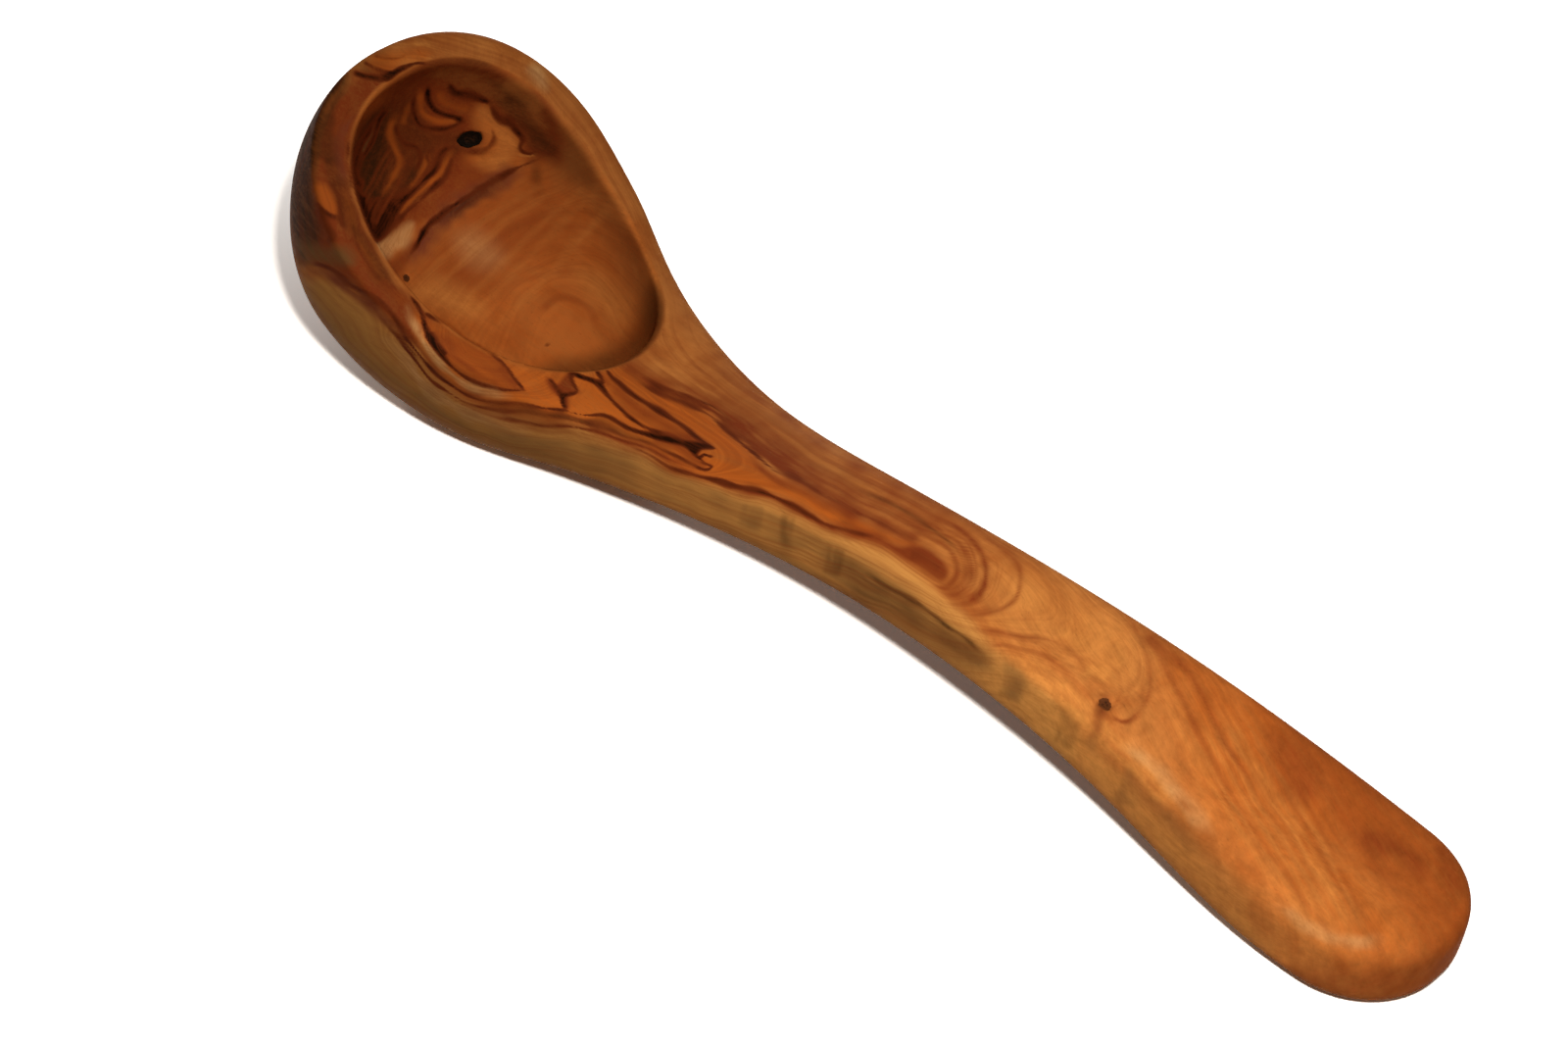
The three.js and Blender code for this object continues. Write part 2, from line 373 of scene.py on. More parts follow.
    def hollow_rings(self, count: int, sides: int) -> np.ndarray:
        """Gives the rings of the hollow's cutter in mm: floor, walls, rounded inner edge and room above."""
        angle = np.linspace(0, 2 * math.pi, sides, endpoint=False)
        rings = []
        for turn in np.linspace(0, math.pi / 2, count + 1)[1:]:
            share = math.sin(turn)
            rings.append(self.hollow_point(angle, share, 0, self.hollow_height(np.array(share))))
        for turn in np.linspace(0, math.pi / 2, count // 4)[1:]:
            widen = self.rim_round * (1 - math.cos(turn))
            rings.append(self.hollow_point(angle, 1, widen, self.rim_round * (math.sin(turn) - 1)))
        rings.append(self.hollow_point(angle, 1, self.rim_round, self.cut_above))
        return np.stack(rings)

    def unroll(self, points: np.ndarray) -> tuple[np.ndarray, np.ndarray]:
        """Gives the length along the top line and the height above it for rows of points in mm."""
        run = np.interp(points[:, 0] - self.shift, self.along_law.value(self.stations), self.run)
        still = np.zeros(len(points))
        for _ in range(self.unroll_rounds):
            line = self.place(run, still, still)
            rise = self.place(run, still, still + 1) - line
            ahead = np.stack([rise[:, 2], still, -rise[:, 0]], -1)
            run = np.clip(run + self.unroll_pull * ((points - line) * ahead).sum(1), 0, self.length)
        line = self.place(run, still, still)
        rise = self.place(run, still, still + 1) - line
        return run, ((points - line) * rise).sum(1)

    def inside_hollow(self, run: np.ndarray, side: np.ndarray, up: np.ndarray) -> np.ndarray:
        """Gives 1 for surface points of the hollow and 0 for others, with a soft change on the rim."""
        back = run > self.hollow_middle
        power = np.where(back, self.hollow_back_power, self.hollow_front_power)
        reach = np.where(back, self.hollow_back, self.hollow_front)
        far = np.abs(run - self.hollow_middle) / reach
        share = (far ** power + np.abs(side / self.hollow_half) ** power) ** (1 / power)
        deep = up - self.hollow_height(np.clip(self.edge_inset * share, 0, 1))
        return (1 - smooth_step(share, *self.edge_shares)) * smooth_step(deep, *self.skin_reach)

    def hollow_spot(self, bearing: float, share: float) -> tuple[np.ndarray, np.ndarray]:
        """Gives a point of the hollow's wall and the direction out of the wood there."""
        turn = math.radians(bearing)
        turns = np.array([turn, turn, turn + self.spot_step])
        shares = np.array([share, share - self.spot_step, share])
        point, across, beside = self.hollow_point(turns, shares, 0, self.hollow_height(shares))
        axis = np.cross(across - point, beside - point)
        axis /= np.linalg.norm(axis)
        inward = self.place(self.hollow_middle, 0, 0) - point
        return point, axis if axis @ inward > 0 else -axis

    def handle_spot(self, station: float, side: float) -> tuple[np.ndarray, np.ndarray]:
        """Gives a point of the handle's top and the direction out of the wood there."""
        point, above = self.place(np.array([station, station]), np.array(side), np.array([0.0, 1.0]))
        return point, above - point


@dataclass(frozen=True)
class PhotoView:
    """The photograph's camera: angles in degrees, lengths in mm, picture size in pixels."""

    width: int = 1600
    height: int = 1066
    focal: float = 3200
    sensor: float = 36
    near: float = 10
    elevation: float = 40.29
    azimuth: float = 44.85
    roll: float = 0.29
    distance: float = 577.6
    aim: tuple[float, float, float] = (-12.13, 0, 23.3)
    slide_right: float = -3.9
    slide_up: float = -8.02

    def axes(self) -> tuple[np.ndarray, np.ndarray, np.ndarray]:
        """Gives the camera's right, up and backward directions."""
        e, a, r = (math.radians(v) for v in (self.elevation, self.azimuth, self.roll))
        back = np.array([math.sin(a) * math.cos(e), -math.cos(a) * math.cos(e), math.sin(e)])
        level = np.array([math.cos(a), math.sin(a), 0])
        steep = np.cross(back, level)
        right = math.cos(r) * level + math.sin(r) * steep
        up = math.cos(r) * steep - math.sin(r) * level
        return right, up, back

    def position(self) -> np.ndarray:
        """Gives the camera's place in mm."""
        right, up, back = self.axes()
        return np.array(self.aim) + self.slide_right * right + self.slide_up * up + self.distance * back

    def pixels(self, points: np.ndarray) -> np.ndarray:
        """Gives where points, in mm, fall in the photograph, in pixels from its top left corner."""
        right, up, back = self.axes()
        away = points - self.position()
        depth = -(away @ back)
        across = self.width / 2 + self.focal * (away @ right) / depth
        down = self.height / 2 - self.focal * (away @ up) / depth
        return np.stack([across, down], -1)

    def facing(self, points: np.ndarray, normals: np.ndarray) -> np.ndarray:
        """Gives how squarely surface points, in mm, face the camera: 1 straight on, 0 edge on."""
        sight = self.position() - points
        return (normals * sight).sum(-1) / np.linalg.norm(sight, axis=-1)

    def make_camera(self) -> bpy.types.Object:
        """Makes the scene's camera."""
        data = bpy.data.cameras.new("photo_camera")
        data.sensor_width = self.sensor
        data.lens = self.focal * self.sensor / self.width
        data.clip_start = self.near * MM
        camera = bpy.data.objects.new("photo_camera", data)
        right, up, back = self.axes()
        turn = Matrix((right, up, back)).transposed().to_4x4()
        camera.matrix_world = Matrix.Translation(Vector(self.position() * MM)) @ turn
        bpy.context.scene.collection.objects.link(camera)
        bpy.context.scene.camera = camera
        return camera


class Zone(Enum):
    """Parts of the body's surface that a mark can be kept to."""

    ALL = "all"
    HOLLOW = "hollow"
    OUTSIDE = "outside"


@dataclass(frozen=True)
class Stroke:
    """A growth line, through points of the photograph. Width is the reach to each side, in its pixels.

    Shade is how far a soft russet tone goes on from the line, to its right if positive and to its left
    if not. Taper is the share of its length over which it fades at each end. Start is the share of its
    width that the line begins with, and its strength grows with the width. Without a zone, a mark is kept
    to the zone of its group.
    """

    name: str
    tone: Tone
    width: float
    strength: float
    path: tuple[Pixel, ...]
    zone: Zone | None = None
    shade: float = 0
    taper: float = 0.12
    start: float = 1


@dataclass(frozen=True)
class Bundle:
    """A run of lines, spread between a first and a last one with the same number of points."""

    name: str
    tone: Tone
    width: float
    strength: float
    count: int
    first: tuple[Pixel, ...]
    last: tuple[Pixel, ...]

    def strokes(self) -> list[Stroke]:
        """Gives the lines one by one, each a little unlike its neighbours."""
        draws = np.random.default_rng(len(self.name) + self.count)
        first, last = np.array(self.first, float), np.array(self.last, float)
        lines = []
        for i in range(self.count):
            share = np.clip((i + draws.uniform(-0.3, 0.3)) / max(self.count - 1, 1), 0, 1)
            path = first + (last - first) * share
            strength = self.strength * draws.uniform(0.55, 1)
            width = self.width * draws.uniform(0.7, 1.2)
            lines.append(Stroke(self.name, self.tone, width, strength, tuple(map(tuple, path))))
        return lines


@dataclass(frozen=True)
class Patch:
    """A region inside a smooth closed outline through points of the photograph, with a soft edge."""

    name: str
    tone: Tone
    soft: float
    strength: float
    outline: tuple[Pixel, ...]
    zone: Zone | None = None


@dataclass(frozen=True)
class Guide:
    """A line that the growth rings follow, with the ring it lies on, counted in pixels across the rings."""

    ring: float
    path: tuple[Pixel, ...]


Mark = Stroke | Bundle | Patch

SIDE_MARKS: tuple[Mark, ...] = (
    Patch("sapwood side", Tone.SAND, 7, 0.95, ((285, 285), (318, 287), (345, 291), (362, 303), (380, 318),
        (396, 334), (408, 346), (420, 356), (432, 370), (446, 385), (462, 399), (482, 411), (505, 421),
        (530, 428), (560, 433), (600, 439), (640, 453), (690, 482), (740, 498), (790, 514), (830, 533),
        (862, 545), (905, 566), (950, 597), (985, 624), (1010, 655), (1040, 683), (1075, 712), (1096, 740),
        (1090, 775), (1000, 760), (700, 540), (400, 430), (280, 330))),
    Patch("handle side", Tone.SAND, 20, 0.6, ((1080, 730), (1120, 766), (1156, 800), (1200, 846),
        (1246, 896), (1286, 948), (1270, 1000), (1150, 880), (1070, 790))),
    Patch("bowl side", Tone.STAIN, 26, 0.5, ((300, 300), (340, 310), (380, 345), (420, 385), (480, 425),
        (560, 446), (640, 470), (600, 500), (480, 460), (400, 430), (300, 360))),
    # pale sapwood below the growth lines, brightened further as a painted highlight
    Stroke("pale sapwood and highlight", Tone.PALE, 13, 0.85, ((396, 346), (416, 372), (440, 398), (464, 414),
        (492, 428), (530, 438)), taper=0.3),
    Bundle("sapwood streaks", Tone.STAIN, 4, 0.4, 9, ((420, 380), (520, 440), (640, 462), (760, 515),
        (860, 560), (960, 615)), ((360, 360), (480, 440), (620, 485), (750, 545), (850, 600), (940, 655))),
    Patch("stain field", Tone.STAIN, 11, 0.6, ((842, 566), (880, 580), (915, 602), (950, 630), (985, 653),
        (1010, 670), (1000, 684), (960, 668), (920, 640), (880, 614), (850, 590))),
    Bundle("stain lines", Tone.UMBER, 4, 0.5, 6, ((846, 560), (880, 578), (912, 598), (945, 622),
        (975, 644), (1008, 668)), ((872, 606), (895, 618), (920, 632), (945, 648), (970, 662), (998, 678))),
    Stroke("stain edge", Tone.UMBER, 4, 0.8, ((886, 586), (904, 598), (922, 607), (937, 617), (952, 628),
        (968, 641), (986, 652), (1006, 667))),
    Bundle("first ticks", Tone.STAIN, 5, 0.45, 3, ((760, 512), (758, 524), (756, 536)), ((776, 516),
        (775, 528), (772, 542))),
    Bundle("second ticks", Tone.UMBER, 5, 0.4, 3, ((798, 522), (797, 538), (799, 556)), ((808, 526),
        (805, 542), (803, 560))),
    Bundle("third ticks", Tone.UMBER, 6, 0.5, 3, ((846, 554), (844, 570), (842, 586)), ((860, 560),
        (857, 574), (853, 590))),
    Bundle("tick streaks", Tone.STAIN, 4, 0.4, 5, ((780, 520), (804, 532), (830, 546), (850, 556)),
        ((776, 548), (800, 556), (826, 562), (850, 570))),
    Bundle("side blotch", Tone.STAIN, 8, 0.5, 3, ((1026, 672), (1026, 692), (1022, 712)), ((1042, 682),
        (1040, 700), (1034, 720))),
    Bundle("grey blotch", Tone.UMBER, 8, 0.45, 3, ((1088, 716), (1084, 736), (1074, 758)), ((1102, 722),
        (1098, 744), (1088, 764))),
    Stroke("small blotch", Tone.STAIN, 8, 0.6, ((1124, 734), (1118, 750), (1112, 766))),
    Bundle("low blotch", Tone.STAIN, 8, 0.55, 3, ((1150, 780), (1146, 800), (1138, 820)), ((1164, 788),
        (1160, 806), (1152, 826))),
    Bundle("brown blotches", Tone.STAIN, 12, 0.4, 3, ((1170, 806), (1182, 828), (1192, 850)), ((1192, 826),
        (1206, 850), (1216, 874))),
    Stroke("handle side light", Tone.HONEY, 14, 0.35, ((1060, 716), (1110, 766), (1160, 816), (1210, 870),
        (1250, 916))),
)

RIM_MARKS: tuple[Mark, ...] = (
    Patch("rim heartwood", Tone.RUSSET, 9, 0.92, ((402, 72), (382, 70), (358, 84), (334, 112), (322, 150),
        (318, 190), (322, 230), (318, 262), (330, 274), (352, 288), (372, 302), (392, 320), (410, 344),
        (424, 352), (434, 332), (424, 308), (402, 286), (382, 254), (366, 214), (357, 176), (360, 140),
        (378, 108), (398, 88))),
    # dark heartwood on the bowl's outer left wall, darkened further as painted shade where it turns away
    # from the lamp
    Patch("outer wall wood and shade", Tone.UMBER, 9, 0.95, ((356, 78), (338, 104), (326, 134), (322, 160), (320, 186),
        (324, 214), (330, 236), (318, 258), (306, 268), (294, 240), (292, 180), (310, 116), (336, 80))),
    Patch("lower wall", Tone.STAIN, 8, 0.85, ((304, 246), (330, 250), (352, 252), (360, 270), (340, 272),
        (312, 266))),
    # darker streak on the outer wall: dark wood with painted shade
    Stroke("wall streak and shade", Tone.UMBER, 13, 0.9, ((328, 118), (319, 140), (312, 168), (309, 194), (310, 214))),
    Stroke("dark foot", Tone.DARK, 9, 0.55, ((324, 212), (332, 226), (340, 240), (332, 248))),
    Patch("wall fleck", Tone.AMBER, 5, 0.6, ((321, 189), (332, 187), (339, 195), (343, 206), (344, 220),
        (338, 220), (328, 211), (322, 200))),
    Stroke("fleck edge", Tone.DARK, 4, 0.8, ((337, 184), (343, 194), (346, 206), (348, 220), (352, 234))),
    Stroke("fleck foot", Tone.DARK, 4, 0.6, ((322, 207), (330, 216), (340, 222), (346, 222))),
    Bundle("rim streaks", Tone.DARK, 3.5, 0.5, 3, ((376, 92), (352, 116), (342, 146), (345, 184),
        (357, 224), (378, 264), (404, 300)), ((392, 92), (367, 118), (355, 150), (354, 184), (364, 222),
        (386, 262), (412, 302))),
    Stroke("rim plum", Tone.PLUM, 8, 0.6, ((362, 118), (352, 130), (346, 146), (347, 166), (352, 186))),
    Stroke("rim ribbon", Tone.AMBER, 7, 0.35, ((350, 196), (356, 216), (362, 238), (370, 256), (384, 276),
        (402, 298), (418, 318))),
    Stroke("rim line", Tone.DARK, 4, 0.6, ((354, 142), (357, 160), (358, 178), (360, 196))),
    Stroke("rim line low", Tone.DARK, 4, 0.6, ((360, 226), (362, 242), (367, 258), (377, 272), (392, 288))),
    Stroke("rim shade", Tone.UMBER, 7, 0.55, ((352, 88), (340, 108), (334, 132), (333, 152), (336, 172))),
    Stroke("rim deep", Tone.UMBER, 13, 0.5, ((336, 128), (338, 164), (350, 206), (366, 244), (386, 274),
        (410, 306))),
    Stroke("rim foot", Tone.RUSSET, 10, 0.5, ((390, 282), (403, 297), (413, 313), (420, 330))),
    Patch("rim knot shade", Tone.UMBER, 8, 0.5, ((366, 66), (380, 58), (396, 56), (392, 70), (374, 78))),
    Stroke("rim light", Tone.HONEY, 9, 0.5, ((422, 46), (430, 44), (440, 46))),
    # painted highlight on the far rim
    Patch("painted rim highlight", Tone.PALE, 7, 0.95, ((540, 72), (550, 68), (558, 76), (560, 92), (552, 90),
        (544, 82))),
    Stroke("sapwood edge", Tone.DARK, 6, 0.8, ((312, 268), (326, 271), (340, 277), (353, 287), (367, 296),
        (382, 305), (396, 317), (408, 331), (420, 344)), shade=-10),
    Stroke("second edge", Tone.DARK, 5, 0.65, ((330, 282), (348, 290), (364, 301), (378, 312), (391, 325),
        (403, 340), (416, 356), (430, 372))),
    Stroke("third edge", Tone.PLUM, 8, 0.7, ((314, 276), (334, 282), (352, 294), (372, 308), (390, 322),
        (404, 334))),
    Stroke("upper rim line", Tone.DARK, 4.5, 0.85, ((360, 74), (372, 78), (386, 81), (398, 82)), shade=6),
    Stroke("second rim line", Tone.DARK, 4, 0.8, ((371, 62), (380, 67), (390, 73), (402, 77))),
    Stroke("third rim line", Tone.DARK, 4, 0.75, ((381, 56), (392, 60), (404, 60), (416, 56)), shade=6),
    Stroke("top rim spot", Tone.DARK, 4, 0.7, ((426, 50), (429, 55), (436, 60))),
    Patch("top rim red", Tone.AMBER, 6, 0.5, ((376, 60), (396, 52), (420, 50), (440, 54), (430, 64),
        (410, 68), (396, 76), (380, 70))),
    Patch("rim far wash", Tone.RUSSET, 16, 0.25, ((560, 96), (600, 150), (640, 226), (672, 290), (690, 340),
        (712, 340), (690, 280), (650, 190), (600, 110), (560, 70))),
)

NECK_MARKS: tuple[Mark, ...] = (
    Patch("amber field", Tone.AMBER, 8, 0.9, ((424, 320), (470, 340), (520, 370), (560, 378), (610, 378),
        (634, 374), (668, 396), (720, 420), (756, 450), (788, 484), (840, 510), (900, 542), (940, 556),
        (900, 550), (850, 534), (800, 508), (740, 494), (690, 480), (640, 446), (590, 430), (540, 420),
        (490, 408), (456, 388), (434, 362))),
    Patch("pocket", Tone.RUSSET, 4, 0.45, ((431, 317), (446, 326), (462, 337), (486, 353), (507, 366),
        (520, 378), (534, 398), (505, 397), (478, 388), (455, 371), (441, 350), (434, 330))),
    Stroke("pocket glow", Tone.AMBER, 9, 0.7, ((460, 356), (478, 366), (496, 380), (508, 391))),
    Stroke("pocket end", Tone.RUSSET, 9, 0.6, ((510, 372), (520, 383), (529, 394))),
    Bundle("pocket streaks", Tone.RUSSET, 4, 0.6, 3, ((440, 336), (464, 350), (488, 366), (512, 384)),
        ((450, 354), (470, 370), (490, 384), (512, 394))),
    Stroke("pocket edge", Tone.DARK, 3.4, 0.9, ((419, 300), (426, 309), (431, 320), (434, 331), (438, 342),
        (444, 354), (452, 366), (462, 377), (475, 386), (490, 393), (508, 397), (524, 398), (537, 399)),
        shade=-7, taper=0.05),
    Stroke("pocket wedge", Tone.DARK, 6.5, 1, ((436, 338), (441, 347), (447, 356), (455, 365))),
    Stroke("pocket roof", Tone.DARK, 3.4, 0.75, ((432, 316), (446, 325), (460, 333), (474, 344), (488, 352),
        (500, 360), (511, 369), (520, 378), (528, 388), (537, 399)), Zone.ALL, shade=9, taper=0.05),
    Stroke("ribbon", Tone.PALE, 6.5, 0.85, ((416, 316), (423, 330), (430, 344), (438, 358), (447, 371),
        (459, 382), (474, 392), (494, 400), (520, 404))),
    Stroke("ribbon edge", Tone.RUSSET, 4, 0.8, ((410, 330), (420, 346), (430, 360), (440, 373), (452, 385),
        (466, 394), (482, 401), (500, 404))),
    Stroke("first near line", Tone.DARK, 3.4, 0.9, ((410, 340), (422, 357), (433, 370), (446, 383),
        (460, 393), (475, 401), (492, 407), (510, 411), (530, 413), (550, 415), (566, 417), (580, 419)),
        shade=8, taper=0.04),
    Stroke("second near line", Tone.DARK, 3.8, 0.8, ((404, 346), (416, 361), (428, 375), (440, 387),
        (455, 398), (470, 407), (485, 413), (502, 417), (520, 420), (540, 421), (560, 423), (580, 428),
        (600, 433), (620, 438), (640, 444), (660, 451), (680, 460), (700, 470), (714, 477), (723, 479)),
        taper=0.04),
    Stroke("third near line", Tone.RUSSET, 6, 0.95, ((452, 398), (464, 407), (478, 415), (492, 422),
        (508, 427), (526, 430), (546, 432), (566, 435), (588, 438), (612, 442), (640, 450), (662, 459),
        (684, 469), (704, 477)), shade=-6, start=0.2),
    Stroke("near band", Tone.UMBER, 9, 0.85, ((500, 413), (530, 417), (560, 422), (590, 428), (620, 436),
        (650, 446), (680, 459)), taper=0.3),
    Stroke("third line core", Tone.DARK, 3.5, 0.7, ((500, 424), (526, 429), (550, 432), (580, 436),
        (612, 441), (640, 449), (664, 459), (690, 471))),
    Stroke("fourth near line", Tone.DARK, 4.5, 0.7, ((640, 453), (662, 464), (676, 471), (692, 479),
        (708, 485), (724, 489), (742, 493), (762, 498), (780, 503)), shade=7),
    Bundle("stripes", Tone.RUSSET, 3.5, 0.55, 4, ((470, 398), (510, 409), (560, 419), (620, 436),
        (680, 462)), ((462, 402), (510, 426), (560, 439), (620, 449), (690, 484))),
    Patch("jagged mark", Tone.RUSSET, 3, 1, ((558, 386), (568, 394), (577, 384), (585, 378), (585, 390),
        (592, 400), (583, 402), (580, 417), (572, 406), (562, 397))),
    Stroke("jagged line", Tone.DARK, 3.2, 0.85, ((584, 377), (583, 388), (589, 399), (577, 403), (574, 410),
        (579, 418))),
    Stroke("jagged foot", Tone.DARK, 4.6, 0.8, ((560, 386), (567, 395), (574, 404), (579, 417))),
    Stroke("first v line", Tone.DARK, 3.2, 0.85, ((578, 377), (590, 383), (600, 387), (608, 390),
        (614, 396), (619, 403), (625, 410), (632, 416), (640, 423), (650, 430), (660, 436), (672, 441),
        (686, 446), (702, 451)), taper=0.05),
    Stroke("first v dark", Tone.DARK, 4.6, 0.9, ((580, 378), (592, 384), (604, 388), (612, 394),
        (618, 402)), taper=0.3),
    Stroke("first v tail", Tone.DARK, 4.2, 0.8, ((668, 440), (684, 446), (698, 451), (712, 453)),
        taper=0.3),
    Bundle("v top lines", Tone.RUSSET, 2.6, 0.7, 2, ((606, 378), (613, 385), (620, 394)), ((614, 378),
        (622, 387), (630, 396))),
    Stroke("v branch", Tone.DARK, 3.2, 0.8, ((606, 376), (611, 383), (616, 392))),
    Stroke("v fill", Tone.RUSSET, 10, 0.75, ((622, 390), (640, 408), (662, 424), (690, 440), (712, 450))),
    Stroke("second v dark", Tone.DARK, 5, 0.6, ((640, 398), (652, 407), (666, 414), (680, 423), (694, 433)),
        taper=0.3),
    Patch("v tip red", Tone.RUSSET, 4, 0.7, ((676, 442), (700, 444), (716, 448), (726, 455), (714, 460),
        (720, 476), (706, 472), (690, 460), (668, 452))),
    Stroke("second v line", Tone.DARK, 3.2, 0.9, ((617, 376), (624, 384), (633, 391), (642, 400),
        (652, 408), (663, 414), (674, 420), (686, 428), (698, 436), (709, 444), (720, 450), (729, 457)),
        shade=-6, taper=0.05),
    Stroke("lower v dark", Tone.DARK, 5.5, 0.9, ((626, 429), (644, 436), (662, 442), (680, 449), (696, 453),
        (708, 458)), taper=0.35),
    Stroke("lower v", Tone.DARK, 3.2, 0.85, ((580, 419), (598, 423), (615, 425), (630, 430), (645, 437),
        (660, 443), (675, 448), (690, 451), (706, 456)), taper=0.05),
    Patch("v tip", Tone.DARK, 2.5, 0.9, ((698, 450), (712, 449), (722, 451), (730, 457), (716, 457),
        (712, 461), (706, 462), (700, 456))),
    Stroke("v tip hook", Tone.DARK, 3, 0.85, ((706, 460), (713, 466), (718, 462), (729, 466))),
    Stroke("v tip foot", Tone.DARK, 3, 0.8, ((712, 465), (717, 471), (726, 476), (719, 479), (708, 475))),
    Stroke("amber tongue", Tone.AMBER, 14, 0.8, ((752, 462), (780, 484), (810, 503), (840, 520), (870, 533),
        (900, 545))),
    Stroke("brown band", Tone.RUSSET, 9, 1, ((633, 371), (646, 380), (658, 389), (672, 397), (688, 404),
        (704, 410), (720, 416), (734, 424), (746, 433), (757, 444), (768, 454), (781, 464), (796, 477),
        (810, 486), (826, 495), (842, 504), (860, 515), (880, 525), (900, 535), (920, 544), (942, 553)),
        shade=-22, taper=0.03),
    Stroke("brown band core", Tone.DARK, 6, 0.6, ((648, 381), (672, 396), (704, 409), (734, 424),
        (757, 444), (781, 464), (806, 484), (834, 500))),
    Stroke("band upper line", Tone.DARK, 4.2, 0.65, ((652, 380), (668, 391), (690, 400), (712, 408),
        (734, 418), (752, 432), (770, 448), (790, 464), (812, 480))),
    Stroke("band lower line", Tone.DARK, 4.2, 0.7, ((640, 380), (656, 394), (676, 403), (700, 413),
        (722, 423), (742, 438), (760, 455), (780, 472), (804, 488))),
    Stroke("core far line", Tone.DARK, 4, 0.5, ((800, 482), (830, 499), (862, 516), (896, 533),
        (924, 547))),
    Stroke("band shadow", Tone.RUSSET, 10, 0.8, ((742, 424), (762, 442), (784, 464), (806, 482))),
    Stroke("band top", Tone.RUSSET, 9, 0.6, ((664, 381), (692, 392), (720, 404), (744, 418), (768, 438),
        (796, 462), (824, 482))),
    Stroke("core top", Tone.RUSSET, 9, 0.75, ((764, 468), (790, 488), (816, 501), (846, 516), (880, 532))),
    Stroke("core edge", Tone.RUSSET, 9.5, 1, ((748, 495), (764, 499), (780, 504), (796, 510), (812, 518),
        (828, 528), (844, 536), (860, 540), (878, 544), (896, 550), (914, 558)), shade=14),
    Stroke("core edge line", Tone.DARK, 4, 0.7, ((722, 488), (750, 495), (778, 503), (804, 514), (826, 527),
        (848, 537), (874, 543), (900, 551))),
    Stroke("core edge dark", Tone.DARK, 7, 0.5, ((756, 497), (776, 502), (798, 511), (820, 522),
        (842, 535))),
    Patch("blob", Tone.RUSSET, 4, 0.95, ((902, 556), (918, 558), (932, 556), (946, 559), (956, 566),
        (964, 575), (968, 586), (963, 593), (952, 589), (936, 579), (918, 569))),
    Stroke("blob heart", Tone.DARK, 9, 0.4, ((926, 564), (945, 571), (961, 584))),
    Bundle("loop ends", Tone.RUSSET, 3.5, 0.7, 6, ((930, 540), (952, 550), (968, 561), (975, 574),
        (975, 588), (966, 598), (950, 596)), ((950, 530), (972, 542), (988, 556), (996, 572), (996, 590),
        (986, 606), (968, 608))),
    Stroke("strong loop", Tone.RUSSET, 6.5, 1, ((958, 528), (976, 538), (990, 550), (1000, 563),
        (1005, 578), (1005, 591), (1000, 604), (990, 612), (974, 613)), shade=-8, taper=0.2),
    Stroke("outer loop end", Tone.RUSSET, 5, 0.6, ((986, 536), (1006, 548), (1022, 560), (1034, 574),
        (1040, 590), (1038, 606), (1028, 617), (1012, 623), (992, 625), (976, 621)), shade=-7, taper=0.2),
    Bundle("far fine lines", Tone.RUSSET, 2.4, 0.42, 18, ((690, 392), (760, 432), (812, 474), (870, 508),
        (920, 531), (966, 552)), ((716, 346), (780, 398), (850, 448), (910, 480), (960, 508), (1010, 538))),
    Bundle("far lines", Tone.RUSSET, 4, 0.45, 10, ((700, 398), (760, 432), (812, 474), (870, 508),
        (920, 531), (966, 552)), ((700, 352), (770, 404), (840, 452), (900, 486), (950, 512), (1000, 540))),
    Stroke("far streak", Tone.UMBER, 4, 0.6, ((880, 500), (912, 517), (944, 534), (964, 548), (978, 562))),
    Stroke("far light", Tone.HONEY, 8, 0.2, ((720, 380), (780, 424), (840, 470), (900, 506))),
)

